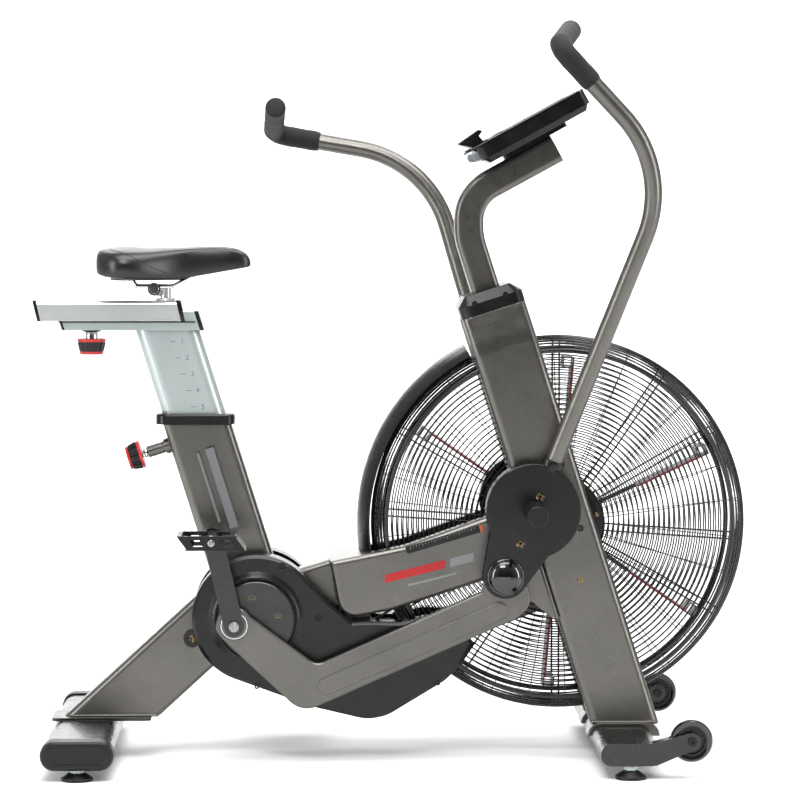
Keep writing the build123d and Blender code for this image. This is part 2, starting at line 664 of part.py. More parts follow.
# Cranks: an eccentric disc inboard of the link bar and the pedal arm outboard of it
PEDAL_SPINDLE_R = 7
for side, s in SIDES:
    turn = 0 if s < 0 else 180
    pin = polar(CRANK, CRANK_THROW, CRANK_ANGLE + turn)
    pedal = (CRANK[0] - s * PEDAL_ARM[0], CRANK[1] - s * PEDAL_ARM[1])
    lean = degrees(atan2(pedal[1] - pin[1], pedal[0] - pin[0]))
    reach = hypot(pedal[0] - pin[0], pedal[1] - pin[1])
    with BuildPart() as crank:
        disc(CRANK, *span(s, *CRANK_DISC_LAYER), DISC_R)
        rim = crank.faces().sort_by(Axis.Y)[0 if s < 0 else -1].edges()
        chamfer(rim, 2)
        low, high = span(s, *ARM_LAYER)
        with BuildSketch(side_plane(high)):
            with Locations(Location((pin[0], pin[1]), lean)):
                with Locations((reach / 2, 0)):
                    SlotCenterToCenter(reach, 36)
        extrude(amount=high - low)
        disc(pin, *span(s, ARM_LAYER[1], ARM_LAYER[1] + 3), 12)
        disc(pedal, *span(s, ARM_LAYER[1], PEDAL_LAYER[1] - 8), PEDAL_SPINDLE_R)
    save(crank.part, f"{side}_crank")

    # Pedal: a barrel on the spindle between two skewed end plates joined by cage bars
    with BuildPart() as pedal_body:
        inner, outer = PEDAL_LAYER
        corners = [(-57, 13), (38, 13), (57, -13), (-38, -13)]
        outline = [(pedal[0] + x, pedal[1] + z) for x, z in corners]
        for near, far in ((inner, inner + 6), (outer - 6, outer)):
            slab(outline, *span(s, near, far), corner=4)
            for x in (-27, 27):
                window = [
                    (pedal[0] + x - 9 - 3, pedal[1] + 6),
                    (pedal[0] + x + 9 - 3, pedal[1] + 6),
                    (pedal[0] + x + 9 + 3, pedal[1] - 6),
                    (pedal[0] + x - 9 + 3, pedal[1] - 6),
                ]
                slab(window, *span(s, near, far), mode=Mode.SUBTRACT)
        for x in (-1, 1):
            bar = [
                (pedal[0] + x * 47.5 - 9.5 - 5, pedal[1] + 13),
                (pedal[0] + x * 47.5 - 9.5 + 4, pedal[1] + 13),
                (pedal[0] + x * 47.5 + 9.5 + 4, pedal[1] - 13),
                (pedal[0] + x * 47.5 + 9.5 - 5, pedal[1] - 13),
            ]
            slab(bar, *span(s, inner, outer))
        disc(pedal, *span(s, inner, outer), 13)
        disc(pedal, *span(s, inner - 1, outer - 6), PEDAL_SPINDLE_R + GAP, mode=Mode.SUBTRACT)
    save(pedal_body.part, f"{side}_pedal")

# Link bars. The outline is set out from the front eye, with +x along the line from the rear eye
# to the front eye, so both bars share it
LINK_LENGTH = 499.9
LINK_OUTLINE = [
    (-484, 27),
    (-366, -98),
    (-42, -20),
    (-12, 22),
    (25, 5),
    (36, -36),
    (5, -80),
    (-407, -179),
    (-523, -24),
]
RIB = ((-355, -138), (-22, -60), 27)
EYE_R, BEARING_BORE = 33, 25
for side, s in SIDES:
    turn = 0 if s < 0 else SWING
    front = polar(PIVOT, LEVER, LEVER_ANGLE + turn)
    rear = polar(CRANK, CRANK_THROW, CRANK_ANGLE + (0 if s < 0 else 180))
    heading = degrees(atan2(front[1] - rear[1], front[0] - rear[0]))
    place = Location((front[0], front[1]), heading)
    low, high = span(s, *LINK_LAYER)
    with BuildPart() as link_bar:
        with BuildSketch(side_plane(high)) as bar:
            with Locations(place):
                with BuildSketch(mode=Mode.PRIVATE) as profile:
                    with BuildLine():
                        Polyline(*LINK_OUTLINE, close=True)
                    make_face()
                    fillet(profile.vertices().sort_by(Axis.Y)[0], 44)
                    fillet(
                        profile.vertices().filter_by_position(Axis.X, -367, -365),
                        24,
                    )
                add(profile.sketch)
                with Locations((-LINK_LENGTH, 0)):
                    Circle(EYE_R)
                Circle(30)
                with Locations((-6, -37)):
                    Circle(45)
        extrude(amount=high - low)
        edge_loops = link_bar.faces().filter_by(Plane.XZ).edges()
        chamfer(edge_loops, 2.5)
        # hollow inside, but for solid bosses round the eyes
        with BuildSketch(side_plane(high - WALL)):
            add(bar.sketch.moved(Location((0, 0, 0))))
            offset(amount=-4)
            with Locations(place):
                with Locations((0, 0), (-LINK_LENGTH, 0)):
                    Circle(29, mode=Mode.SUBTRACT)
        extrude(amount=high - low - 2 * WALL, mode=Mode.SUBTRACT)
        # pressed rib on the outer face
        outer_low, outer_high = span(s, LINK_LAYER[1] - 1, LINK_LAYER[1] + 3)
        with BuildSketch(side_plane(outer_high)):
            with Locations(place):
                one, other, rib_width = RIB
                with BuildLine(mode=Mode.PRIVATE) as rib_line:
                    Line(one, other)
                SlotArc(rib_line.edges()[0], rib_width)
        extrude(amount=outer_high - outer_low, taper=-32)
        disc(front, low - 5, high + 5, 18, mode=Mode.SUBTRACT)
        disc(rear, low - 5, high + 5, BEARING_BORE, mode=Mode.SUBTRACT)
    save(link_bar.part, f"{side}_link_bar")

    with BuildPart() as link_bearings:
        disc(front, low, high, 18, 10 + RUNNING)
        disc(rear, low, high, BEARING_BORE)
    save(link_bearings.part, f"{side}_link_bearings")

# Handles: the levers turn on stub shafts of the side frames
SHAFT_R, BUSH_R = 15, 18
PEG_R, PEG_END = 19, 268
HANDLE_R, GRIP_R = 16, 19.5
HANDLE = [(275.7, 122, 503.5), (496, 232, 1078.5), (291.5, 258, 1296), (323.5, 110, 1330)]
HANDLE_BENDS = (210, 26)
GRIP_START = 0.70  # where the grip starts, as a share of the run before the elbow
with BuildPart() as handle_pivots:
    for _, s in SIDES:
        disc(PIVOT, *span(s, FRAME_OUTER, 100.5), 60)
        disc(PIVOT, *span(s, 100.5, HUB_LAYER[1]), SHAFT_R)
        disc(PIVOT, *span(s, HUB_LAYER[1], PEG_END - 5), 10)
save(handle_pivots.part, "handle_pivots")

with BuildPart() as handle_bushes:
    for _, s in SIDES:
        disc(PIVOT, *span(s, 100.6, HUB_LAYER[1]), BUSH_R, SHAFT_R)
save(handle_bushes.part, "handle_bushes")

with BuildPart() as foot_pegs:
    for _, s in SIDES:
        disc(PIVOT, *span(s, HUB_LAYER[1] + GAP, PEG_END), PEG_R)
        rim = foot_pegs.faces().sort_by(Axis.Y)[0 if s < 0 else -1].edges()
        fillet(rim, 2.5)
        disc(PIVOT, *span(s, HUB_LAYER[1], PEG_END - 5), 10, mode=Mode.SUBTRACT)
save(foot_pegs.part, "foot_pegs")


def handle_point(n, s):
    """A point of the handle's route on one side; the left handle rests a full swing further back."""
    x, y, z = HANDLE[n]
    if s < 0:
        return (x, -y, z)
    dx, dz = x - PIVOT[0], z - PIVOT[1]
    c, q = cos(radians(SWING)), sin(radians(SWING))
    return (PIVOT[0] + c * dx - q * dz, y, PIVOT[1] + q * dx + c * dz)


for side, s in SIDES:
    route = [Vector(*handle_point(n, s)) for n in range(4)]
    turn = 0 if s < 0 else SWING
    pin = polar(PIVOT, LEVER, LEVER_ANGLE + turn)
    with BuildPart() as handle_tube:
        with BuildLine() as run:
            FilletPolyline(*route, radius=HANDLE_BENDS)
        with BuildSketch(Plane(origin=run.line @ 0, z_dir=run.line % 0)):
            Circle(HANDLE_R)
            Circle(HANDLE_R - 2, mode=Mode.SUBTRACT)
        sweep()
    save(handle_tube.part, f"{side}_handle_tube")

    with BuildPart() as grip:
        grip_start = route[1] + (route[2] - route[1]) * GRIP_START
        grip_end = route[3] + (route[3] - route[2]).normalized() * 5
        with BuildLine() as run:
            FilletPolyline(grip_start, route[2], grip_end, radius=HANDLE_BENDS[1])
        with BuildSketch(Plane(origin=run.line @ 0, z_dir=run.line % 0)):
            Circle(GRIP_R)
        sweep()
        with BuildLine() as bore_run:
            FilletPolyline(grip_start, route[2], route[3], radius=HANDLE_BENDS[1])
        with BuildSketch(Plane(origin=bore_run.line @ 0, z_dir=bore_run.line % 0)) as bore:
            Circle(HANDLE_R + 0.02)
        sweep(bore.sketch, path=bore_run.wires()[0], mode=Mode.SUBTRACT)
    save(grip.part, f"{side}_grip")

    with BuildPart() as lever:
        inner, outer = HUB_LAYER
        disc(PIVOT, *span(s, inner, outer), HUB_R)
        for near, far in ((inner, 110), (140, outer)):
            low, high = span(s, near, far)
            with BuildSketch(side_plane(high)):
                with Locations(pin):
                    Circle(40)
                away = LEVER_ANGLE + turn
                with BuildLine():
                    Polyline(
                        polar(pin, 40, away + 78),
                        polar(PIVOT, HUB_R - 2, away + 44),
                        polar(PIVOT, HUB_R - 2, away - 44),
                        polar(pin, 40, away - 78),
                        close=True,
                    )
                make_face()
            extrude(amount=high - low)
        face_edges = lever.faces().sort_by(Axis.Y)[0 if s < 0 else -1].edges()
        fillet(face_edges, 3)
        disc(PIVOT, *span(s, 90, 160), BUSH_R + RUNNING, mode=Mode.SUBTRACT)
        disc(pin, *span(s, inner, outer), 10, mode=Mode.SUBTRACT)
        # moulded boss that the handle tube enters
        direction = (route[1] - route[0]).normalized()
        with BuildSketch(Plane(origin=route[0] + direction * 8, z_dir=direction)):
            Circle(HANDLE_R + 5)
        extrude(amount=44)
        with BuildSketch(Plane(origin=route[0], z_dir=direction)):
            Circle(HANDLE_R)
        extrude(amount=80, mode=Mode.SUBTRACT)
    save(lever.part, f"{side}_lever")

    with BuildPart() as lever_pin:
        disc(pin, *span(s, inner, outer), 10)
        disc(pin, *span(s, outer, outer + 7), 34)
        low, high = span(s, outer + 7, outer + 13)
        disc(pin, low, high, 29.5)
        with BuildSketch(Plane(origin=(pin[0], s * (outer + 13), pin[1]), z_dir=(0, s, 0))):
            Circle(29.5)
        extrude(amount=10, taper=50)
    save(lever_pin.part, f"{side}_lever_pin")

# Seat post with its rail
with BuildPart() as seat_post:
    box_tube(on_post(420), on_post(RAIL_HIGH + 20), POST_DEPTH, POST_WIDTH, WALL, 22)
    split(bisect_by=Plane.XY.offset(RAIL_LOW + 4), keep=Keep.BOTTOM)
    SLANT = 11
    RAIL_X = (-613, -356)
    rail = [
        (RAIL_X[0], RAIL_HIGH),
        (RAIL_X[1], RAIL_HIGH),
        (RAIL_X[1] + SLANT, RAIL_LOW),
        (RAIL_X[0] + SLANT, RAIL_LOW),
    ]
    slab(rail, -RAIL_HALF, RAIL_HALF)
    slab(
        [(-640, RAIL_LOW + 4), (-300, RAIL_LOW + 4), (-300, RAIL_HIGH - 5), (-640, RAIL_HIGH - 5)],
        -RAIL_HALF + 4,
        RAIL_HALF - 4,
        mode=Mode.SUBTRACT,
    )
save(seat_post.part, "seat_post")

SLIDER_X = (-656, -385)
STEM_X = -413
with BuildPart() as seat_slider:
    slant = 9
    profile = [
        (SLIDER_X[0], SLIDER_HIGH),
        (SLIDER_X[1], SLIDER_HIGH),
        (SLIDER_X[1] + slant, SLIDER_LOW),
        (SLIDER_X[0] + slant, SLIDER_LOW),
    ]
    slab(profile, -SLIDER_HALF, SLIDER_HALF)
    top_edges = seat_slider.edges().filter_by(Axis.X).group_by(Axis.Z)[-1]
    fillet(top_edges, 9)
    with BuildSketch(Plane.XY.offset(SLIDER_LOW - 1)):
        with Locations(((SLIDER_X[0] + SLIDER_X[1]) / 2, 0)):
            Rectangle(400, 2 * (RAIL_HALF + GAP))
    extrude(amount=RAIL_HIGH + GAP - SLIDER_LOW + 1, mode=Mode.SUBTRACT)
    # stem that carries the saddle clamp
    with BuildSketch(Plane.XY.offset(SLIDER_HIGH - 1)):
        with Locations((STEM_X, 0)):
            Circle(19)
    extrude(amount=5, taper=20)
    with BuildSketch(Plane.XY.offset(SLIDER_HIGH)):
        with Locations((STEM_X, 0)):
            Circle(10)
    extrude(amount=30)
    slab([(STEM_X, 846), (STEM_X, 869), (TILT_AXIS[0], 872), (TILT_AXIS[0], 849)], -7, 7)
    disc(TILT_AXIS, -7, 7, 12)
    disc(TILT_AXIS, -20, 20, 4 + RUNNING, mode=Mode.SUBTRACT)
save(seat_slider.part, "seat_slider")

RAIL_Y = 24
with BuildPart() as saddle_clamp:
    disc(TILT_AXIS, -34, 34, 4)
    for _, s in SIDES:
        disc(TILT_AXIS, *span(s, 7 + GAP, 30), 12)
        disc(TILT_AXIS, *span(s, 30, 34), 8)
        with BuildLine() as wire:
            FilletPolyline(
                (-480, s * (RAIL_Y + 10), 884),
                (-468, s * RAIL_Y, 866),
                (-400, s * RAIL_Y, 866),
                (-345, s * (RAIL_Y - 8), 894),
                radius=9,
            )
        with BuildSketch(Plane(origin=wire.line @ 0, z_dir=wire.line % 0)) as rod:
            Circle(3.5)
        sweep(rod.sketch, path=wire.wires()[0])
save(saddle_clamp.part, "saddle_clamp")

# Saddle: its side outline cut by its plan outline
with BuildPart() as saddle:
    with BuildSketch(side_plane(120)):
        with BuildLine():
            Polyline(
                (-544, 881),
                (-544, 938),
                (-440, 935),
                (-275, 939),
                (-257, 910),
                (-259, 903),
                (-390, 877),
                (-440, 874),
                (-505, 876),
                close=True,
            )
        make_face()
        fillet(vertices().sort_by(Axis.Y)[-3:], 20)
    extrude(amount=240)
    with BuildSketch(Plane.XY.offset(860)):
        with BuildLine():
            Spline(
                (-541, 0),
                (-530, 62),
                (-490, 98),
                (-430, 72),
                (-370, 34),
                (-300, 26),
                (-262, 16),
                (-256, 0),
                tangents=((0, 1), (0, -1)),
            )
            Spline(
                (-541, 0),
                (-530, -62),
                (-490, -98),
                (-430, -72),
                (-370, -34),
                (-300, -26),
                (-262, -16),
                (-256, 0),
                tangents=((0, -1), (0, 1)),
            )
        make_face()
    extrude(amount=100, mode=Mode.INTERSECT)
save(saddle.part, "saddle")

# Clamp knob under the rail and pop pin behind the seat tube
KNOB = (-549.5, 0)
with BuildPart() as slider_knob:
    with BuildSketch(Plane.XY.offset(RAIL_LOW - GAP)):
        with Locations(KNOB):
            Circle(17)
    extrude(amount=-3)
    with BuildSketch(Plane.XY.offset(RAIL_LOW - GAP - 3)):
        with Locations(KNOB):
            Circle(10)
    extrude(amount=-16)
    with BuildSketch(Plane.XY.offset(769)):
        with Locations(KNOB):
            Circle(26)
    extrude(amount=-28, taper=10)
save(slider_knob.part, "slider_knob")

PIN_OUT = 58
with BuildPart() as height_pin:
    tip = on_post(PIN_HEIGHT, POST_DEPTH / 2 + GAP)
    tip_plane = Plane(origin=(tip[0], 0, tip[1]), z_dir=(post_back[0], 0, post_back[1]))
    with BuildSketch(tip_plane):
        Circle(PIN_R)
    extrude(amount=PIN_OUT)
    with BuildSketch(tip_plane.offset(PIN_OUT)):
        Circle(25)
    extrude(amount=27, taper=9)
save(height_pin.part, "height_pin")

# Front wheel brackets, transport wheels and levelling feet
with BuildPart() as wheel_brackets:
    for _, s in SIDES:
        low, high = span(s, BRACKET_INNER, BRACKET_OUTER)
        with BuildSketch(side_plane(high)):
            with Locations(FRONT_STABILISER):
                RectangleRounded(*FRONT_BAR)
            with BuildLine():
                Polyline(
                    (456, FRONT_STABILISER[1] + 20),
                    (520, WHEEL[1] + 15),
                    (533, WHEEL[1] - 14),
                    (500, 40),
                    (462, FRONT_STABILISER[1] - 20),
                    close=True,
                )
            make_face()
            with Locations(WHEEL):
                Circle(16)
        extrude(amount=high - low)
        low, high = span(s, BRACKET_INNER - 5, BRACKET_INNER + 1)
        slab([(478, 60), (520, 81), (541, 74), (541, 60), (505, 42), (478, 36)], low, high, corner=5)
        disc(WHEEL, *span(s, 297.5, 316.5), WHEEL_R + 3, mode=Mode.SUBTRACT)
        disc(WHEEL, *span(s, 280, 330), 5, mode=Mode.SUBTRACT)
        with BuildSketch(Plane.XY.offset(10)):
            with Locations((FRONT_STABILISER[0], s * 309)):
                Circle(8 + GAP)
        extrude(amount=40, mode=Mode.SUBTRACT)
save(wheel_brackets.part, "wheel_brackets")

for side, s in SIDES:
    with BuildPart() as wheel:
        disc(WHEEL, *span(s, 298, 316), WHEEL_R)
        fillet(wheel.edges().filter_by(GeomType.CIRCLE), 4)
        for near, far in ((297, 301), (313, 317)):
            disc(WHEEL, *span(s, near, far), 28, 14, mode=Mode.SUBTRACT)
        disc(WHEEL, *span(s, 290, 320), 5 + RUNNING, mode=Mode.SUBTRACT)
    save(wheel.part, f"{side}_transport_wheel")

FEET = (
    ("front", FRONT_STABILISER, 309, 24),
    ("rear", REAR_STABILISER, 302, 20),
)
for end, centre, out, underside in FEET:
    for side, s in SIDES:
        with BuildPart() as foot:
            with BuildSketch(Plane.XY):
                with Locations((centre[0], s * out)):
                    Circle(FOOT_R)
            extrude(amount=6)
            fillet(foot.edges().group_by(Axis.Z)[0], 2)
            with BuildSketch(Plane.XY.offset(6)):
                with Locations((centre[0], s * out)):
                    Circle(FOOT_R)
            extrude(amount=8, taper=58)
            with BuildSketch(Plane.XY.offset(6)):
                with Locations((centre[0], s * out)):
                    Circle(8)
            extrude(amount=underside + 20 - 6)
        save(foot.part, f"{side}_{end}_foot")

# Fasteners of the frame, each its own solid
with BuildPart() as frame_screws:
    for _, s in SIDES:
        for place in ((152, 836), (208, 853)):
            disc(place, *span(s, 86, 89), 5)
        disc((345, 426), *span(s, FRAME_OUTER, FRAME_OUTER + 3), 6, 2)
        for place in SHROUD_SCREWS:
            disc(place, *span(s, SHROUD_OUTER - 3, SHROUD_OUTER - 0.5), 4.5, 1.8)
        disc(polar(CRANK, SHROUD_R + 14, 200), *span(s, SHROUD_INNER + 4, SHROUD_INNER + 7), 5, 2)
        disc(WHEEL, *span(s, BRACKET_INNER - 5, BRACKET_OUTER), 5)
        disc(WHEEL, *span(s, BRACKET_OUTER, BRACKET_OUTER + 4), 8, 3)
        disc(WHEEL, *span(s, BRACKET_INNER - 10, BRACKET_INNER - 5), 8)
save(frame_screws.part, "frame_screws")
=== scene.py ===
import json
import math
import random

import bmesh
import bpy
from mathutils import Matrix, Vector
from mathutils.bvhtree import BVHTree


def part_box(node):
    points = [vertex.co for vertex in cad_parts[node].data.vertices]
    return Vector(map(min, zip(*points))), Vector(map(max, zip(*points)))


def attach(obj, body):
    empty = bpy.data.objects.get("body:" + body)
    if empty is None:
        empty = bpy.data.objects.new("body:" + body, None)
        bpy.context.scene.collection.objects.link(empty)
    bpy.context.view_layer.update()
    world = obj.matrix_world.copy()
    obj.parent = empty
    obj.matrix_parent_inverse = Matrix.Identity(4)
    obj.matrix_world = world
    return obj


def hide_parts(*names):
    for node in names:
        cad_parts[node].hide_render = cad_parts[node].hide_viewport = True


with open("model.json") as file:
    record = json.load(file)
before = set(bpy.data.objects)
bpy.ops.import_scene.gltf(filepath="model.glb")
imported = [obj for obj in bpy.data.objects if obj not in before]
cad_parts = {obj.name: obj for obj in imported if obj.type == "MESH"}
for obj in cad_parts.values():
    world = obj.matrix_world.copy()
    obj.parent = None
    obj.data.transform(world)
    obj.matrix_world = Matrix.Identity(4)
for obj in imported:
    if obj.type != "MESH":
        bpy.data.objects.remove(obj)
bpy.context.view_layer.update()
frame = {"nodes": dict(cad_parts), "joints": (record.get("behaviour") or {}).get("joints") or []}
random.seed(11)

SIDES = (("right", -1), ("left", 1))
JOINTS = {joint["name"]: joint for joint in frame["joints"]}
X, Y, Z = Vector((1, 0, 0)), Vector((0, 1, 0)), Vector((0, 0, 1))
FAN, PIVOT, CRANK = (
    Vector(JOINTS[name]["pos_m"]) for name in ("fan_spin", "right_handle_swing", "crank_spin")
)
SWING = math.radians(max(abs(angle) for angle in JOINTS["right_handle_swing"]["range_deg"]))

# Faces of the CAD's layers, as distances from the middle plane
SIDE_FACE = 0.096  # side frames, main beam and shrouds
CRANK_FACE, LINK_FACE, PIN_FACE, LEVER_FACE = 0.1116, 0.138, 0.159, 0.149
POST_HALF = 0.025
# Angles in the side view: the seat post's lean, the console's and the knob sides' slopes
POST_LEAN, CONSOLE_TILT = math.radians(17.5), math.radians(28.6)


def polar(centre, radius, angle, y=0.0):
    """The point at a radius and an angle from a centre in the side view, at a depth y."""
    turn = math.radians(angle)
    return Vector((centre.x + radius * math.cos(turn), y, centre.z + radius * math.sin(turn)))


def spoke(turn):
    """The unit vector at an angle, in radians, in the side view."""
    return Vector((math.cos(turn), 0, math.sin(turn)))


def square_to(way):
    """The direction a quarter turn on from another in the side view."""
    return Vector((-way.z, 0, way.x))


def turns(count, start=0.0):
    return [start + 2 * math.pi * n / count for n in range(count)]


def around(axis, count):
    """Unit vectors spread round an axis."""
    u = axis.orthogonal().normalized()
    v = axis.cross(u)
    return [u * math.cos(a) + v * math.sin(a) for a in turns(count)]


def crank_pin(s, y):
    """The crank pin's axis at a depth; the left crank is half a turn on from the right."""
    return polar(CRANK, 0.040, 190.18 + (0 if s < 0 else 180), s * y)


def swung(s):
    """The angle from the right handle's rest to that side's, in degrees."""
    return 0 if s < 0 else math.degrees(SWING)


def new_object(name, data):
    piece = bpy.data.objects.new(name, data)
    bpy.context.scene.collection.objects.link(piece)
    return piece


# -------- materials


def linear(colour):
    """The scene's linear colour for one given as 0 to 255 on a screen."""
    return [((c / 255 + 0.055) / 1.055) ** 2.4 if c > 10 else c / 255 / 12.92 for c in colour]


class Nodes:
    """Short ways to add shader nodes to a tree."""

    def __init__(self, tree):
        self.tree = tree

    def node(self, kind, inputs=(), **attributes):
        node = self.tree.nodes.new("ShaderNode" + kind)
        for name, value in attributes.items():
            setattr(node, name, value)
        for name, value in dict(inputs).items():
            if isinstance(value, bpy.types.NodeSocket):
                self.tree.links.new(value, node.inputs[name])
            else:
                node.inputs[name].default_value = value
        return node

    def remap(self, value, low, high, to_low=0.0, to_high=1.0):
        names = ("Value", "From Min", "From Max", "To Min", "To Max")
        inputs = zip(names, (value, low, high, to_low, to_high))
        return self.node("MapRange", inputs).outputs["Result"]

    def maths(self, operation, one, other=0.0):
        return self.node("Math", {0: one, 1: other}, operation=operation).outputs["Value"]


class Finish(Nodes):
    """A procedural material built up in layers on the Principled shader."""

    def __init__(self, name, colour, rough, **settings):
        self.material = bpy.data.materials.new(name)
        self.material.use_nodes = True
        super().__init__(self.material.node_tree)
        self.shader = self.tree.nodes["Principled BSDF"]
        self.shader.inputs["Base Color"].default_value = (*linear(colour), 1)
        self.shader.inputs["Roughness"].default_value = rough
        for setting, value in settings.items():
            self.shader.inputs[setting.replace("_", " ")].default_value = value
        self.coordinates = self.node("TexCoord").outputs["Object"]
        self.colour = None
        self.normal = None

    def pattern(self, scale, detail, stretch=(1, 1, 1)):
        """Noise of some detail, or cells where the detail is the name of a Voronoi feature."""
        mapping = self.node("Mapping", {"Vector": self.coordinates, "Scale": stretch})
        inputs = {"Vector": mapping.outputs["Vector"], "Scale": scale}
        if isinstance(detail, str):
            return self.node("TexVoronoi", inputs, feature=detail).outputs["Distance"]
        return self.node("TexNoise", {**inputs, "Detail": detail}).outputs["Fac"]

    def tint(self, factor, colour):
        """Blends the base colour towards another where the factor is high."""
        mix = self.node("Mix", data_type="RGBA")
        self.tree.links.new(factor, mix.inputs[0])
        if self.colour is None:
            mix.inputs[6].default_value = self.shader.inputs["Base Color"].default_value[:]
        else:
            self.tree.links.new(self.colour, mix.inputs[6])
        mix.inputs[7].default_value = (*linear(colour), 1)
        self.colour = mix.outputs[2]
        self.tree.links.new(self.colour, self.shader.inputs["Base Color"])

    def roughness(self, factor, low, high):
        rough = self.remap(factor, 0.3, 0.7, low, high)
        self.tree.links.new(rough, self.shader.inputs["Roughness"])

    def bump(self, height, distance, strength):
        inputs = {"Height": height, "Distance": distance, "Strength": strength}
        if self.normal is not None:
            inputs["Normal"] = self.normal
        self.normal = self.node("Bump", inputs).outputs["Normal"]
        self.tree.links.new(self.normal, self.shader.inputs["Normal"])

    def layers(self, edge=0, tints=(), gloss=(), bumps=()):
        """Adds rounded edges, tints, uneven roughness and bumps.

        A tint is (pattern, from, to, weight at from, weight at to, colour), the gloss is
        (pattern, lowest roughness, highest) and a bump is (pattern, depth, strength).
        """
        if edge:
            bevel = self.node("Bevel", {"Radius": edge}, samples=4)
            self.normal = bevel.outputs["Normal"]
            self.tree.links.new(self.normal, self.shader.inputs["Normal"])
        for pattern, low, high, to_low, to_high, colour in tints:
            self.tint(self.remap(self.pattern(*pattern), low, high, to_low, to_high), colour)
        if gloss:
            self.roughness(self.pattern(*gloss[0]), *gloss[1:])
        for pattern, distance, strength in bumps:
            self.bump(self.pattern(*pattern), distance, strength)
        return self.material


def blade_coat():
    """Black fan blades whose long free edges are red."""
    coat = Finish("fan_blade_coat", (11, 11, 12), 0.42, Metallic=0.1)
    hub = (FAN.x, 0, FAN.z)
    depth = coat.node("SeparateXYZ", {"Vector": coat.coordinates}).outputs["Y"]
    across = coat.node("VectorMath", {0: coat.coordinates, 1: hub}, operation="SUBTRACT")
    inputs = {0: across.outputs["Vector"], 1: (1, 0, 1)}
    flat = coat.node("VectorMath", inputs, operation="MULTIPLY").outputs["Vector"]
    reach = coat.node("VectorMath", {0: flat}, operation="LENGTH").outputs["Value"]
    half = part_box("fan_blades")[1].y
    edge = coat.remap(coat.maths("ABSOLUTE", depth), half - 0.0021, half - 0.0019)
    edge = coat.maths("MULTIPLY", edge, coat.remap(reach, 0.2855, 0.2865, 1.0, 0.0))
    coat.tint(coat.remap(coat.pattern(30, 4), 0.4, 0.8, 0.0, 0.5), (27, 27, 29))
    coat.tint(edge, (126, 16, 20))
    return coat.layers(gloss=((120, 4), 0.36, 0.52), bumps=[((900, 3), 0.0001, 0.4)])


def print_ink(name, colour):
    """Thin flat ink of a printed stripe or figure."""
    return Finish(name, colour, 0.42).layers(
        tints=[((240, 4), 0.4, 0.8, 0.0, 0.35, [c * 0.8 for c in colour])],
        gloss=((700, 3), 0.36, 0.5),
        bumps=[((2600, 2), 0.00003, 0.5)],
    )


EDGE_CELLS, ROUND_CELLS, SOFT_CELLS = "DISTANCE_TO_EDGE", "F1", "SMOOTH_F1"

# Metallic grey powder coat with fine flake and a faint orange peel
PAINT = Finish(
    "gunmetal_paint", (90, 88, 84), 0.36, Metallic=0.9, Coat_Weight=0.2, Coat_Roughness=0.2,
).layers(
    edge=0.003,
    tints=[
        ((2600, 2), 0.45, 0.8, 0.0, 1.0, (136, 134, 129)),
        ((9, 4), 0.35, 0.75, 0.0, 0.35, (70, 69, 65)),
    ],
    gloss=((60, 5), 0.27, 0.35),
    bumps=[((900, 3), 0.00012, 0.5), ((2400, 1), 0.00006, 0.6)],
)
# Satin black powder coat
BLACK = Finish("black_coat", (10, 10, 11), 0.26, Coat_Weight=0.15).layers(
    edge=0.0012,
    tints=[((14, 5), 0.4, 0.8, 0.0, 0.5, (16, 16, 18))],
    gloss=((30, 3), 0.23, 0.30),
    bumps=[((900, 2), 0.00002, 0.3)],
)
# Black plastic with a fine spark-eroded grain
PLASTIC = Finish("moulded_black", (8, 8, 10), 0.28, Specular_IOR_Level=0.34).layers(
    edge=0.0014,
    tints=[((22, 4), 0.4, 0.75, 0.0, 0.45, (14, 14, 17))],
    gloss=((30, 3), 0.24, 0.31),
    bumps=[((1100, ROUND_CELLS), 0.00001, 0.25)],
)
GLOSS = Finish("gloss_black", (7, 7, 8), 0.09, Coat_Weight=0.6).layers(
    gloss=((30, 4), 0.06, 0.13),
    bumps=[((120, 2), 0.00005, 0.3)],
)
# Galvanised steel: pale, with faint crystals and draw marks up the post
ZINC = Finish("zinc_plate", (168, 177, 176), 0.32, Metallic=0.6).layers(
    edge=0.0015,
    tints=[
        ((30, 3, (1, 1, 0.2)), 0.3, 0.8, 0.0, 0.16, (150, 158, 158)),
        ((6, 3, (3, 3, 0.4)), 0.3, 0.8, 0.0, 0.16, (194, 202, 201)),
    ],
    gloss=((40, 3, (1, 1, 0.2)), 0.29, 0.36),
    bumps=[((260, 3, (1, 1, 0.08)), 0.00004, 0.3)],
)
# Anodised extrusion, brushed along its length
ALUMINIUM = Finish("brushed_aluminium", (206, 209, 209), 0.27, Metallic=0.7).layers(
    edge=0.001,
    tints=[((500, 2, (0.01, 1, 1)), 0.3, 0.7, 0.0, 0.08, (186, 190, 192))],
    gloss=((500, 2, (0.01, 1, 1)), 0.24, 0.27),
)
STEEL = Finish("ground_steel", (158, 158, 160), 0.28, Metallic=1.0).layers(
    edge=0.0006,
    tints=[((40, 5), 0.35, 0.75, 0.0, 0.6, (118, 118, 120))],
    gloss=((300, 4), 0.20, 0.38),
    bumps=[((1200, 3), 0.00006, 0.4)],
)
CHROME = Finish("chrome", (215, 218, 222), 0.07, Metallic=1.0).layers(
    edge=0.0006,
    tints=[((25, 5), 0.45, 0.8, 0.0, 0.35, (168, 170, 174))],
    gloss=((90, 5), 0.05, 0.14),
)
# Yellow passivated screws
SCREW = Finish("yellow_zinc", (128, 108, 78), 0.26, Metallic=1.0).layers(
    tints=[((160, 4), 0.35, 0.7, 0.0, 0.7, (98, 80, 60))],
    gloss=((500, 3), 0.22, 0.42),
    bumps=[((1500, 2), 0.00005, 0.4)],
)
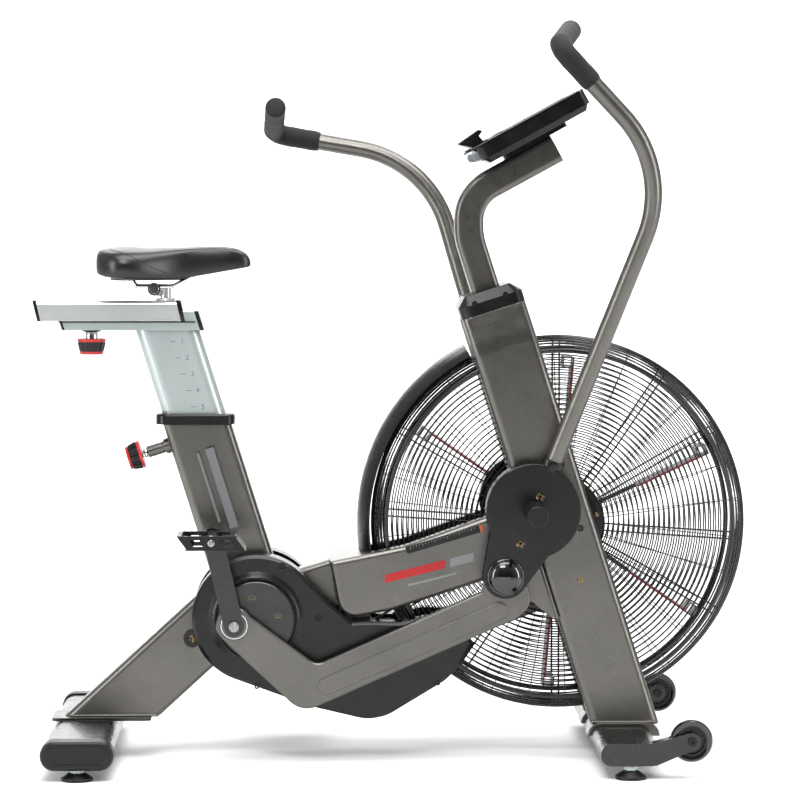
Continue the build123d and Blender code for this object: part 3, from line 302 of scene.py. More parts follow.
# Blackened screws
OXIDE = Finish("black_oxide", (34, 34, 35), 0.34, Metallic=0.8).layers(
    tints=[((160, 4), 0.35, 0.7, 0.0, 0.6, (52, 51, 49))],
    gloss=((500, 3), 0.26, 0.42),
    bumps=[((1500, 2), 0.00005, 0.4)],
)
RUBBER = Finish("black_rubber", (8, 8, 9), 0.42, Specular_IOR_Level=0.35).layers(
    edge=0.0012,
    tints=[((35, 5), 0.4, 0.8, 0.0, 0.5, (15, 15, 16))],
    gloss=((60, 3), 0.38, 0.48),
    bumps=[((900, 3), 0.00004, 0.4)],
)
# Closed-cell grip foam: matte, finely pitted, with painted shade darkening the bottom of each pit
FOAM = Finish(
    "grip_foam", (13, 13, 15), 0.7, Sheen_Weight=0.05, Sheen_Roughness=0.5, Specular_IOR_Level=0.3,
).layers(
    tints=[
        ((60, 5), 0.35, 0.75, 0.0, 0.5, (22, 22, 24)),
        # painted shade in the pits: darker towards the middle of each cell, where the bump is
        # lowest
        ((1300, ROUND_CELLS), 0.0, 0.35, 0.7, 0.0, (6, 6, 7)),
    ],
    bumps=[((1300, ROUND_CELLS), 0.0003, 0.6), ((300, 4), 0.0003, 0.4)],
)
# Synthetic leather: soft pebbled grain with painted shade in the creases between pebbles, smoother
# and shinier where it is sat on
VINYL = Finish("saddle_vinyl", (10, 10, 11), 0.32).layers(
    tints=[
        ((12, 5), 0.35, 0.75, 0.0, 0.5, (16, 16, 18)),
        # painted shade: darker along the creases at the edges of the grain's cells
        ((520, EDGE_CELLS), 0.0, 0.06, 0.6, 0.0, (5, 5, 6)),
    ],
    gloss=((18, 4), 0.26, 0.36),
    bumps=[((520, SOFT_CELLS), 0.00035, 0.45), ((1600, 3), 0.0001, 0.4)],
)
BLADE = blade_coat()
RED = Finish("red_plastic", (172, 20, 18), 0.30, Coat_Weight=0.15).layers(
    tints=[((60, 4), 0.4, 0.8, 0.0, 0.5, (146, 14, 16))],
    gloss=((300, 3), 0.24, 0.40),
    bumps=[((1200, 2), 0.00005, 0.4)],
)
SILVER = Finish("silver_lacquer", (176, 180, 184), 0.26, Metallic=0.7, Coat_Weight=0.3).layers(
    edge=0.001,
    tints=[((2200, 2), 0.45, 0.8, 0.0, 0.6, (210, 212, 214))],
    gloss=((120, 4), 0.2, 0.34),
    bumps=[((1200, 2), 0.00005, 0.3)],
)
# Dark display window with the faint pattern of its switched-off segments
GLASS = Finish("display_glass", (16, 20, 22), 0.06, Coat_Weight=1.0).layers(
    tints=[((160, EDGE_CELLS), 0.02, 0.03, 0.5, 0.0, (30, 36, 38))],
    gloss=((20, 3), 0.04, 0.1),
)
RED_INK, GREY_INK = print_ink("red_ink", (158, 14, 18)), print_ink("grey_ink", (116, 117, 119))
AMBER, MARK_INK = print_ink("amber_ink", (196, 76, 14)), print_ink("mark_ink", (92, 100, 102))
TUBE_INK = print_ink("tube_ink", (96, 96, 98))

# The finish of the CAD nodes that are shown; what isn't named here is gunmetal
NODE_FINISH = {}
for finish, names in (
    (BLACK, "front_stabiliser rear_stabiliser wheel_brackets right_crank left_crank fan_hub"),
    (PLASTIC, "mast_collar fan_fender right_shroud left_shroud seat_collar console_housing"),
    (PLASTIC, "console_face slider_knob height_pin right_lever left_lever right_pedal left_pedal"),
    (GLOSS, "right_lever_pin left_lever_pin"),
    (RUBBER, "rear_end_caps foot_pegs drive_belts right_front_foot right_rear_foot"),
    (RUBBER, "left_front_foot left_rear_foot"),
    (STEEL, "crank_bearings fan_axle handle_pivots crank_axle jackshaft"),
    (ALUMINIUM, "crank_pulley seat_slider"),
    (ZINC, "seat_post"),
    (CHROME, "saddle_clamp"),
    (SCREW, "handle_bushes"),
    (OXIDE, "frame_screws"),
    (SILVER, "phone_holder"),
    (BLADE, "fan_blades"),
):
    NODE_FINISH.update(dict.fromkeys(names.split(), finish))


def dress_nodes():
    """Gives every CAD node its finish."""
    for name, node in frame["nodes"].items():
        finish = NODE_FINISH.get(name, PAINT)
        if not node.material_slots:
            node.data.materials.append(finish)
        for place in node.material_slots:
            place.material = finish


# -------- mesh tools


POINT_R = 1e-5  # radius that stands for a profile's end on the axis


class Shape:
    """Collects the faces of one piece, then turns them into an object that rides on a body."""

    def __init__(self):
        self.mesh = bmesh.new()

    def rows(self, rings, closed=False):
        """Joins rings of points with quads, and the last with the first or both with caps."""
        rows = [[self.mesh.verts.new(point) for point in ring] for ring in rings]
        pairs = list(zip(rows, rows[1:]))
        if closed:
            pairs.append((rows[-1], rows[0]))
        for one, other in pairs:
            for n in range(len(one)):
                m = (n + 1) % len(one)
                self.mesh.faces.new((one[n], one[m], other[m], other[n]))
        if not closed:
            self.mesh.faces.new(reversed(rows[0]))
            self.mesh.faces.new(rows[-1])
        return self

    def tube(self, path, radius, sides=8, closed=False):
        """Sweeps a circle along points; the radius is one number or one for each point."""
        count = len(path)
        radii = radius if isinstance(radius, list) else [radius] * count
        rings, normal = [], None
        for n, point in enumerate(path):
            before = path[n - 1] if n or closed else point
            after = path[(n + 1) % count] if n < count - 1 or closed else point
            tangent = (after - before).normalized()
            normal = tangent.orthogonal() if normal is None else normal
            normal = (normal - tangent * normal.dot(tangent)).normalized()
            across = tangent.cross(normal)
            rings.append([
                point + (normal * math.cos(a) + across * math.sin(a)) * radii[n]
                for a in turns(sides)
            ])
        return self.rows(rings, closed)

    def hoop(self, radius, wire, y, sides=6, steps=120):
        """A wire ring about the fan's axis."""
        path = [polar(FAN, radius, math.degrees(a), y) for a in turns(steps)]
        return self.tube(path, wire, sides, closed=True)

    def lathe(self, profile, centre, axis, steps=48, closed=False):
        """Turns a profile of (radius, distance along the axis) about an axis through a centre."""
        axis = axis.normalized()
        rounds = around(axis, steps)
        rings = [
            [centre + axis * along + out * max(r, POINT_R) for out in rounds]
            for r, along in profile
        ]
        return self.rows(rings, closed)

    def prism(self, outline, low, high, origin=Vector(), right=X, up=Z):
        """A plate of a flat outline, between two distances along the outline's normal."""
        normal = right.cross(up).normalized()
        return self.rows([
            [origin + right * a + up * b + normal * depth for a, b in outline]
            for depth in (low, high)
        ])

    def screw(self, centre, axis, radius, height):
        """A button head with a hexagonal socket."""
        floor = height * 0.35
        return self.lathe([
            (radius, 0.0), (radius, floor), (radius * 0.86, height * 0.8), (radius * 0.6, height),
            (radius * 0.46, height), (radius * 0.44, floor), (0, floor),
        ], centre, axis, 24)

    def bevel(self, width, segments=2):
        """Rounds the sharp edges made so far."""
        self.mesh.normal_update()
        limit = math.radians(30)
        inner = [edge for edge in self.mesh.edges if len(edge.link_faces) == 2]
        bmesh.ops.bevel(
            self.mesh, geom=[edge for edge in inner if edge.calc_face_angle() > limit],
            offset=width, segments=segments, affect="EDGES", profile=0.5, clamp_overlap=True,
        )
        return self

    def done(self, name, finish, body, slot=None, sharp=35):
        """Makes the object, smooth but for edges sharper than an angle."""
        bmesh.ops.recalc_face_normals(self.mesh, faces=self.mesh.faces)
        mesh = bpy.data.meshes.new(name)
        self.mesh.to_mesh(mesh)
        self.mesh.free()
        mesh.shade_smooth()
        mesh.set_sharp_from_angle(angle=math.radians(sharp))
        mesh.materials.append(finish)
        piece = new_object(name, mesh)
        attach(piece, body)
        return piece


def rounded(width, height, corner, steps=6):
    """The outline of a rectangle with round corners, about the origin."""
    points = []
    for n, (sx, sy) in enumerate(((1, 1), (-1, 1), (-1, -1), (1, -1))):
        for k in range(steps + 1):
            a = math.radians(90 * n + 90 * k / steps)
            points.append((
                sx * (width / 2 - corner) + corner * math.cos(a),
                sy * (height / 2 - corner) + corner * math.sin(a),
            ))
    return points


# -------- fan cage

CAGE_LOW, CAGE_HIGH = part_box("right_fan_guard")[0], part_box("left_fan_guard")[1]
CAGE_R = (CAGE_HIGH.x - CAGE_LOW.x) / 2
CAGE_HALF = CAGE_HIGH.y


def fan_cage(side, s):
    """A bowl of fine rings on radial wires, with its rim hoops, centre cover and screws."""
    wire, centre_r, rings = 0.0014, 0.081, 25
    face_r = CAGE_R - 0.030

    grille = Shape()
    for n in range(rings):
        ring_r = centre_r + (face_r - centre_r) * (n + 1) / rings
        grille.hoop(ring_r, wire, s * (CAGE_HALF - wire))
    # heavy rim band, then a shoulder of lighter hoops out to the widest one at the middle
    grille.hoop(face_r + 0.003, 0.0046, s * (CAGE_HALF - 0.0048), 12, 160)
    shoulder = []
    for n in range(1, 8):
        turn = math.radians(90 * n / 7.4)
        radius = face_r + (CAGE_R - 0.0022 - face_r) * math.sin(turn)
        y = (CAGE_HALF - 0.004) * math.cos(turn)
        shoulder.append((radius, y))
        grille.hoop(radius, 0.0017 if n < 7 else 0.0022, s * y, steps=160)

    def radial(angle, offset, size):
        across = square_to(spoke(math.radians(angle))) * offset
        route = [
            polar(FAN, r, angle, s * (CAGE_HALF - 3.2 * wire)) + across
            for r in (centre_r - 0.012, 0.16, 0.24, 0.29, face_r)
        ]
        route += [polar(FAN, r - 0.003, angle, s * y) + across for r, y in shoulder]
        grille.tube(route, size, 6)

    first = -4 if s < 0 else 30
    for n in range(6):
        for offset in (-0.0065, 0.0065):
            radial(first + 60 * n, offset, 0.0018)
        for k in range(1, 5):
            radial(first + 60 * n + 12 * k, 0, 0.0009)
    cage = grille.done(f"{side}_wire_cage", BLACK, "frame", "black_metal")
    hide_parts(f"{side}_fan_guard")

    # dished centre cover with two raised rings
    top = s * CAGE_HALF
    profile = [
        (0.0085, 0.0), (0.0085, -0.004), (0.080, -0.004), (0.0835, -0.0025), (0.0835, 0.0),
        (0.0815, 0.0), (0.0800, -0.0012), (0.062, -0.0012), (0.060, 0.0), (0.056, 0.0),
        (0.054, -0.0012), (0.030, -0.0012), (0.028, 0.0),
    ]
    cover = Shape().lathe(profile, Vector((FAN.x, top, FAN.z)), Y * s, 96, closed=True)
    cover.done(f"{side}_cage_cover", PLASTIC, "frame", "black_plastic")

    screws = Shape()
    for angle in (14, 104, 194, 284):
        screws.screw(polar(FAN, 0.070, angle, top - s * 0.0012), Y * s, 0.0042, 0.0012)
    screws.done(f"{side}_cage_screws", SCREW, "frame", "brass")


def cage_clips():
    """Spring clips that hold the two cage halves together at the rim."""
    clips, outline = Shape(), rounded(0.013, 0.006, 0.002, 3)
    for angle in (36, 68, 105, 330, 300, 262):
        out = spoke(math.radians(angle))
        middle = polar(FAN, CAGE_R - 0.0035, angle)
        clips.prism(outline, -0.011, 0.011, middle, square_to(out), out)
    clips.bevel(0.0006, 1)
    clips.done("cage_clips", PLASTIC, "frame", "black_plastic")


# -------- saddle


def saddle():
    """Sports saddle lofted through cross-sections: wide padded rear, slim nose, soft skirts."""
    low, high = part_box("saddle")
    length, height = high.x - low.x, high.z - low.z
    half = (high.y - low.y) / 2
    # along, half width, top, bottom and how crowned the top is, as shares of the box
    stations = [
        (0.006, 0.44, 0.80, 0.26, 0.30),
        (0.035, 0.66, 0.90, 0.17, 0.34),
        (0.090, 0.86, 0.965, 0.11, 0.36),
        (0.170, 0.975, 0.985, 0.06, 0.34),
        (0.260, 0.93, 0.965, 0.03, 0.32),
        (0.350, 0.78, 0.945, 0.015, 0.30),
        (0.450, 0.57, 0.945, 0.02, 0.26),
        (0.550, 0.41, 0.955, 0.06, 0.22),
        (0.650, 0.325, 0.965, 0.13, 0.20),
        (0.750, 0.285, 0.98, 0.21, 0.20),
        (0.850, 0.255, 0.975, 0.29, 0.22),
        (0.930, 0.215, 0.90, 0.355, 0.26),
        (0.975, 0.155, 0.76, 0.40, 0.30),
        (0.996, 0.075, 0.60, 0.44, 0.30),
    ]
    rings = []
    for along, width, top, bottom, crown in stations:
        x = low.x - 0.001 + along * (length + 0.003)
        w = width * half * 0.985
        z_top, z_low = low.z + top * height * 1.045, low.z + bottom * height
        rise = z_top - z_low
        section = [
            (0.0, z_top - crown * 0.010),
            (0.30, z_top),
            (0.62, z_top - crown * 0.016),
            (0.86, z_top - crown * rise * 0.55),
            (0.985, z_top - rise * 0.42),
            (1.0, z_top - rise * 0.66),
            (0.955, z_low + rise * 0.10),
            (0.86, z_low + rise * 0.01),
            (0.50, z_low + rise * 0.10),
        ]
        right = [Vector((x, -w * share, z)) for share, z in section]
        left = [Vector((x, w * share, z)) for share, z in reversed(section[1:])]
        floor = [Vector((x, 0, z_low + rise * 0.12))]
        rings.append(right + floor + left)
    cover = Shape().rows(rings).done("saddle_cover", VINYL, "saddle", "vinyl", sharp=180)
    modifier = cover.modifiers.new("smooth", "SUBSURF")
    modifier.levels = modifier.render_levels = 2
    bpy.context.view_layer.update()
    smooth = cover.evaluated_get(bpy.context.evaluated_depsgraph_get())
    mesh = bpy.data.meshes.new_from_object(smooth)
    cover.modifiers.clear()
    cover.data = mesh
    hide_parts("saddle")
    return cover


def saddle_trim(cover):
    """The seams that sweep down the flanks, and the moulded base under the cover."""
    surface = BVHTree.FromObject(cover, bpy.context.evaluated_depsgraph_get())
    low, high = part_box("saddle")
    middle = (low.y + high.y) / 2
    # shares of the length and the height, from the rear of the top down to the skirt
    sweep = [(0.10, 0.93), (0.17, 0.86), (0.25, 0.72), (0.33, 0.54), (0.41, 0.36), (0.50, 0.20)]
    for side, s in SIDES:
        line = []
        for (x0, z0), (x1, z1) in zip(sweep, sweep[1:]):
            for step in range(8):
                t = step / 8
                x = low.x + (x0 + (x1 - x0) * t) * (high.x - low.x)
                z = low.z + (z0 + (z1 - z0) * t) * (high.z - low.z)
                beside = Vector((x, middle + s * 0.3, z))
                hit = surface.ray_cast(beside, -Y * s)[0]
                if hit is not None:
                    line.append(hit - Y * s * 0.0004)
        seam = Shape().tube(line, 0.0009, 8)
        seam.done(f"{side}_saddle_seam", VINYL, "saddle", "vinyl")
    # shares of the length, and half widths
    outline = [
        (0.10, 0.030), (0.15, 0.058), (0.22, 0.064), (0.34, 0.048), (0.5, 0.026), (0.58, 0.018),
    ]
    ring = [(low.x + (high.x - low.x) * a, middle + w) for a, w in outline]
    ring += [(x, 2 * middle - y) for x, y in reversed(ring)]
    base = Shape().rows([
        [Vector((x, y, low.z + rise)) for x, y in ring] for rise in (0.0035, 0.010)
    ])
    base.bevel(0.0015)
    base.done("saddle_base", PLASTIC, "saddle", "black_plastic")


# -------- handles

# foot of the handle, start of its forward run, elbow and end, on the right side
HANDLE = [
    (0.2757, 0.122, 0.5035), (0.496, 0.232, 1.0785), (0.2915, 0.258, 1.296), (0.3235, 0.110, 1.330),
]
ELBOW_R, GRIP_R, GRIP_START = 0.026, 0.0195, 0.70
LEVER_ANGLE, LEVER = 247, 0.130


def handle_point(n, s):
    """A point of the handle's route; the left one rests a full swing further back."""
    x, y, z = HANDLE[n]
    if s < 0:
        return Vector((x, -y, z))
    dx, dz = x - PIVOT.x, z - PIVOT.z
    c, q = math.cos(SWING), math.sin(SWING)
    return Vector((PIVOT.x + c * dx - q * dz, y, PIVOT.z + q * dx + c * dz))


def bent(start, corner, end, radius, steps=14, spacing=0.006):
    """Points of a path with one round bend."""
    back, on = (start - corner).normalized(), (end - corner).normalized()
    half = back.angle(on) / 2
    reach = radius / math.tan(half)
    first, last = corner + back * reach, corner + on * reach
    centre = corner + (back + on).normalized() * (radius / math.sin(half))
    path = []
    for a, b in ((start, first), (last, end)):
        count = max(2, int((b - a).length / spacing))
        run = [a + (b - a) * n / count for n in range(count + 1)]
        if a is last:
            near, far = (first - centre).normalized(), (last - centre).normalized()
            for n in range(1, steps):
                arm = near.slerp(far, n / steps)
                path.append(centre + arm.normalized() * radius)
        path += run
    return path


def grip(side, s):
    """Foam sleeve over the handle's end: tapered start, full bend, domed tip."""
    upper, elbow, end = (handle_point(n, s) for n in (1, 2, 3))
    start = upper.lerp(elbow, GRIP_START)
    end = end + (end - elbow).normalized() * 0.001
    path = bent(start, elbow, end, ELBOW_R)
    radii = []
    for n in range(len(path)):
        wave = 0.00022 * math.sin(n * 0.9) + 0.00012 * math.sin(n * 2.3 + s)
        radii.append(GRIP_R - 0.0004 + wave)
    radii[0], radii[1] = GRIP_R - 0.0022, GRIP_R - 0.0007
    tip_way = (path[-1] - path[-2]).normalized()
    for along, share in ((0.0022, 0.95), (0.0036, 0.80), (0.0046, 0.5), (0.005, 0.2)):
        path.append(end + tip_way * along)
        radii.append(GRIP_R * share)
    sleeve = Shape().tube(path, radii, 40)
    sleeve = sleeve.done(f"{side}_foam_grip", FOAM, f"{side}_handle", "rubber", sharp=60)
    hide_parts(f"{side}_grip")


def sunk_screws(name, body, s, places, well, steps, depth, size):
    """Screws in shallow wells on a side face."""
    wells, screws = Shape(), Shape()
    for place in places:
        wells.lathe(well, place, Y * s, steps)
        screws.screw(place - Y * s * depth, Y * s, *size)
    wells.done(f"{name}_wells", GLOSS, body, "gloss_plastic")
    screws.done(f"{name}s", SCREW, body, "brass")


def lever_trim(side, s):
    """Fairing where the tube enters the lever, and the lever cover's two recessed screws."""
    foot, way = handle_point(0, s), (handle_point(1, s) - handle_point(0, s)).normalized()
    profile = [
        (0.0, -0.006), (0.006, -0.004), (0.0115, 0.002), (0.0165, 0.011), (0.0202, 0.024),
        (0.0214, 0.036), (0.0216, 0.0525), (0.0208, 0.0545), (0.0190, 0.0550), (0.0162, 0.0550),
    ]
    fairing = Shape().lathe(profile, foot, way, 48)
    fairing.done(f"{side}_handle_socket", PLASTIC, f"{side}_handle", "black_plastic")
    well = [(0.0062, -0.002), (0.0062, 0.0004), (0.0070, 0.0009), (0.0078, 0.0006), (0.0082, 0.0)]
    places = [
        polar(PIVOT, radius, angle + swung(s), s * LEVER_FACE)
        for radius, angle in ((0.0289, 66), (0.064, 248))
    ]
    name, body = f"{side}_lever_screw", f"{side}_handle"
    sunk_screws(name, body, s, places, well, 32, 0.0012, (0.0056, 0.0016))


def pin_dome(side, s):
    """Smooth glossy dome with its flange over the pin that joins the lever and the link bar."""
    pin = polar(PIVOT, LEVER, LEVER_ANGLE + swung(s))
    inner, outer = sorted(abs(corner.y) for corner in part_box(f"{side}_lever_pin"))
    face, dome_r, dome_foot = LEVER_FACE, 0.0309, 0.0068
    profile = [
        (0.0, inner), (0.0099, inner), (0.0099, face), (0.0325, face), (0.0338, face + 0.0012),
        (0.0340, face + 0.0040), (0.0332, face + 0.0058), (0.0318, face + 0.0066),
        (dome_r, face + dome_foot),
    ]
    for n in range(1, 13):
        a = math.radians(90 * n / 12)
        rise = (outer - face - dome_foot) * math.sin(a)
        profile.append((dome_r * math.cos(a), face + dome_foot + rise))
    dome = Shape().lathe(profile, pin, Y * s, 72)
    dome = dome.done(f"{side}_pin_dome", GLOSS, f"{side}_handle", "gloss_plastic", sharp=50)
    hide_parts(f"{side}_lever_pin")


def eye_ring(side, s):
    """Thin bright ring round the crank pin, on the link bar's face."""
    profile = [
        (0.0226, -0.0015), (0.0226, 0.0003), (0.0229, 0.0006), (0.0242, 0.0006),
        (0.0245, 0.0003), (0.0245, -0.0015),
    ]
    ring = Shape().lathe(profile, crank_pin(s, LINK_FACE), Y * s, 72, closed=True)
    ring.done(f"{side}_eye_ring", CHROME, f"{side}_link", "chrome")


def pedal_trim(side, s):
    """Spindle hub with its ribs, cage teeth and end bolt of a pedal."""
    low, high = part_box(f"{side}_pedal")
    middle = (low + high) / 2
    inner, outer = (low.y, high.y) if s > 0 else (high.y, low.y)

    def on_axis(y):
        return Vector((middle.x, y, middle.z))

    profile = [
        (0.0090, 0.0), (0.0140, 0.0008), (0.0146, 0.004), (0.0132, 0.009), (0.0128, 0.030),
        (0.0126, 0.062), (0.0136, 0.080), (0.0146, 0.092), (0.0140, 0.0965), (0.0104, 0.0985),
        (0.0100, 0.0975), (0.0, 0.0975),
    ]
    hub = Shape().lathe(profile, on_axis(inner), Y * s, 48)
    for a in turns(12):
        tip, root = on_axis(outer - s * 0.006), on_axis(outer - s * 0.016)
        hub.tube([tip + spoke(a) * 0.0142, root + spoke(a) * 0.0136], 0.0009, 6)
    hub.done(f"{side}_pedal_hub", GLOSS, f"{side}_pedal", "gloss_plastic")
    teeth, tooth = Shape(), [(0.0030, 0.0), (0.0026, 0.0014), (0.0015, 0.0021), (0, 0.0022)]
    for top in (-1, 1):
        for y in (inner + s * 0.004, outer - s * 0.004):
            for n in range(9):
                x = middle.x + (n - 4) * 0.0118 - top * 0.0035
                teeth.lathe(tooth, Vector((x, y, middle.z + top * 0.0112)), Z * top, 10)
    teeth.done(f"{side}_pedal_teeth", PLASTIC, f"{side}_pedal", "black_plastic")
    bolt = Shape().screw(on_axis(outer), Y * s, 0.006, 0.0016)
    bolt.done(f"{side}_pedal_bolt", STEEL, f"{side}_pedal", "steel")


# -------- seat trims


def slanted_caps(name, body, z, slant, half, soft, ends):
    """Plates that close the ends of a profile cut at a slant: (x, thickness, overhang) each."""
    caps = Shape()
    for x, thick, grow in ends:
        low, high = z[0] - grow, z[1] + grow
        outline = [(x + slant, low), (x + slant + thick, low), (x + thick, high), (x, high)]
        caps.prism(outline, -half - grow, half + grow)
    caps.bevel(soft)
    caps.done(name, PLASTIC, body, "black_plastic")


def seat_trims():
    """Black end caps of the slider and the rail, and a thin black strip along the line between
    them.
    """
    low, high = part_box("seat_slider")
    ends = [(low.x + 0.0002, 0.0065, 0.0008), (high.x - 0.009 - 0.0085, 0.0085, 0.0008)]
    slanted_caps("slider_end_caps", "seat_slider", (low.z, 0.840), 0.009, 0.035, 0.0014, ends)
    rail_z = (0.786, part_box("seat_post")[1].z)
    ends = [(-0.6132, 0.0060, 0.0003), (-0.356 - 0.0045, 0.0075, 0.0009)]
    slanted_caps("rail_end_caps", "seat_post", rail_z, 0.011, 0.030, 0.0012, ends)
    # a thin black strip along each side where the slider meets the rail
    strip, outline = Shape(), rounded(0.252, 0.0022, 0.0005, 2)
    for s in (-1, 1):
        strip.prism(outline, -0.0016, 0.0016, Vector((-0.484, s * 0.0306, 0.8012)))
    strip.done("slider_rail_black_strip", RUBBER, "seat_post", "rubber")


def ring_bands(name, body, centre, axis, bands):
    """Red rings round a knob: (radius at one end, at the other, from, to) along its axis."""
    thick, edge = 0.004, 0.0006
    shape = Shape()
    for low_r, high_r, low, high in bands:
        profile = [
            (low_r - thick, low), (low_r - edge, low), (low_r, low + edge),
            (high_r, high - edge), (high_r - edge, high), (high_r - thick, high),
        ]
        shape.lathe(profile, centre, axis, 64, closed=True)
    shape.done(name, RED, body)


def knob_ribs(name, body, centre, axis, low_r, high_r, low, high):
    """Grip ribs down the side of a tapered knob."""
    axis = axis.normalized()
    ribs = Shape()
    for out in around(axis, 18):
        run = [centre + axis * low + out * low_r, centre + axis * high + out * high_r]
        ribs.tube(run, 0.0016, 8)
    ribs.done(name, PLASTIC, body, "black_plastic")


def knobs():
    """Rings, ribs and metal collars of the slider's knob and of the pull pin's."""
    low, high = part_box("slider_knob")
    knob_top = 0.769
    centre = Vector(((low.x + high.x) / 2, (low.y + high.y) / 2, knob_top))
    radius, tall = (high.x - low.x) / 2, knob_top - low.z
    foot = radius - tall * math.tan(math.radians(10))
    ring_bands("slider_knob_rings", "slider_knob", centre, -Z, [
        (radius + 0.0008, radius + 0.0002, -0.0006, 0.0052),
        (foot + 0.0014, foot + 0.0006, tall - 0.0052, tall + 0.0002),
    ])
    ribs = (radius - 0.0014, foot, 0.006, tall - 0.006)
    knob_ribs("slider_knob_ribs", "slider_knob", centre, -Z, *ribs)
    profile = [(0.0112, -0.0165), (0.0118, -0.0155), (0.0118, -0.0008), (0.0090, 0.0)]
    stem = Shape().lathe(profile, centre, -Z, 40)
    stem.done("slider_knob_stem", CHROME, "slider_knob", "chrome")
    profile = [
        (0.0119, -0.0166), (0.0165, -0.0166), (0.0150, -0.0150), (0.0124, -0.0128),
        (0.0119, -0.0126),
    ]
    washer = Shape().lathe(profile, centre, -Z, 40, closed=True)
    washer.done("slider_knob_washer", SCREW, "slider_knob", "brass")
    # the pull pin's knob, along its own axis
    way = -spoke(POST_LEAN)
    points = [vertex.co for vertex in frame["nodes"]["height_pin"].data.vertices]
    axis_foot = sum((point - way * point.dot(way) for point in points), Vector()) / len(points)
    tall = 0.027
    centre = axis_foot + way * (max(point.dot(way) for point in points) - tall)
    outer = 0.025 - tall * math.tan(math.radians(9))
    ring_bands("pin_knob_rings", "height_pin", centre, way, [
        (0.0262, 0.0256, -0.0006, 0.0048),
        (outer + 0.0013, outer + 0.0008, 0.0222, 0.0272),
    ])
    knob_ribs("pin_knob_ribs", "height_pin", centre, way, 0.0245, outer + 0.0006, 0.0058, 0.0212)
    profile = [
        (0.0052, -0.010), (0.0088, -0.010), (0.0092, -0.0092), (0.0092, -0.0052),
        (0.0088, -0.0044), (0.0070, -0.0044), (0.0070, -0.0006), (0.0052, -0.0006),
    ]
    collar = Shape().lathe(profile, centre, way, 32, closed=True)
    collar.done("pin_collar", CHROME, "height_pin", "chrome")


# -------- console


def console_trims():
    """Bezel, display window, key caps and side ribs of the console."""
    along = spoke(CONSOLE_TILT)
    up = square_to(along)
    reach = [v.co.dot(along) for v in frame["nodes"]["console_housing"].data.vertices]
    top = max(v.co.dot(up) for v in frame["nodes"]["console_face"].data.vertices) - 0.0012
    origin = along * ((min(reach) + max(reach)) / 2) + up * top
    length = max(reach) - min(reach)

    def at(offset):
        return origin + up * offset

    outer = rounded(length + 0.0022, 0.1822, 0.0151)
    inner = rounded(length - 0.009, 0.171, 0.010)
    rings = [
        [at(height) + along * a + Y * b for a, b in outline]
        for outline, height in (
            (inner, -0.0010), (outer, -0.0042), (outer, -0.0008), (inner, 0.0006),
        )
    ]
    bezel = Shape().rows(rings, closed=True).bevel(0.0004, 1)
    bezel.done("console_bezel", GLOSS, "frame", "gloss_plastic")
    outline, place = rounded(0.110, 0.140, 0.004), at(-0.0009) + along * 0.028
    window = Shape().prism(outline, -0.0005, 0.0004, place, along, Y).bevel(0.0002, 1)
    window.done("display_window", GLASS, "frame", "gloss_plastic")
    keys, outline = Shape(), rounded(0.017, 0.025, 0.005)
    for a in (-0.078, -0.046):
        for b in (-0.057, -0.019, 0.019, 0.057):
            keys.prism(outline, -0.0003, 0.0008, at(0.0012) + along * a + Y * b, along, Y)
    keys.bevel(0.0004)
    keys.done("console_keys", RUBBER, "frame", "rubber")
    ribs, outline = Shape(), rounded(0.0022, 0.010, 0.0008, 2)
    for s in (-1, 1):
        for a in (-0.075, -0.035, 0.005, 0.045, 0.085):
            place = at(-0.016) + along * a + Y * s * 0.0902
            ribs.prism(outline, -0.0008, 0.0008, place, along, up)
    ribs.done("console_side_ribs", PLASTIC, "frame", "black_plastic")


# -------- welds, screws and small trims


def weld(name, start, end, size):
    """A fillet weld: a bead of overlapping ripples along a straight run."""
    start, end = Vector(start), Vector(end)
    ripple = 0.0011
    count = max(4, int((end - start).length / ripple))
    path = [start.lerp(end, n / count) for n in range(count + 1)]
    radii = [
        size * (0.86 + 0.2 * abs(math.sin(n * 1.05)) + random.uniform(-0.03, 0.03))
        for n in range(count + 1)
    ]
    Shape().tube(path, radii, 8).done(name, PAINT, "frame", "frame_paint", sharp=80)


def crank_trims(side, s):
    """Bolts of the eccentric disc, and the crank pin's bolt with its washer."""
    turn = 0 if s < 0 else 180
    well = [
        (0.0050, -0.002), (0.0050, 0.0001), (0.0064, 0.0003), (0.0076, 0.0002), (0.0080, -0.0006),
    ]
    places = [polar(CRANK, 0.0405, angle + turn, s * CRANK_FACE) for angle in (9, 100, 280)]
    name = f"{side}_crank_bolt"
    sunk_screws(name, "crank", s, places, well, 28, 0.001, (0.0046, 0.0012))
    profile = [
        (0.0092, -0.001), (0.0092, 0.0008), (0.0086, 0.0014), (0.0072, 0.0014), (0.0070, 0.0044),
        (0.0062, 0.0052), (0.0034, 0.0052), (0.0032, 0.0026), (0, 0.0026),
    ]
    bolt = Shape().lathe(profile, crank_pin(s, PIN_FACE), Y * s, 40)
    bolt.done(f"{side}_crank_pin_bolt", STEEL, "crank", "steel")


def shroud_lip(side, s):
    """Raised lip of the shroud round the crank disc."""
    profile = [
        (0.0722, -0.001), (0.0722, 0.0038), (0.0736, 0.0046), (0.0756, 0.0046),
        (0.0774, 0.0036), (0.0800, 0.0014), (0.0860, 0.0006), (0.0880, -0.001),
    ]
    centre = Vector((CRANK.x, s * SIDE_FACE, CRANK.z))
    lip = Shape().lathe(profile, centre, Y * s, 120, closed=True)
    lip.done(f"{side}_shroud_lip", PLASTIC, "frame", "black_plastic")


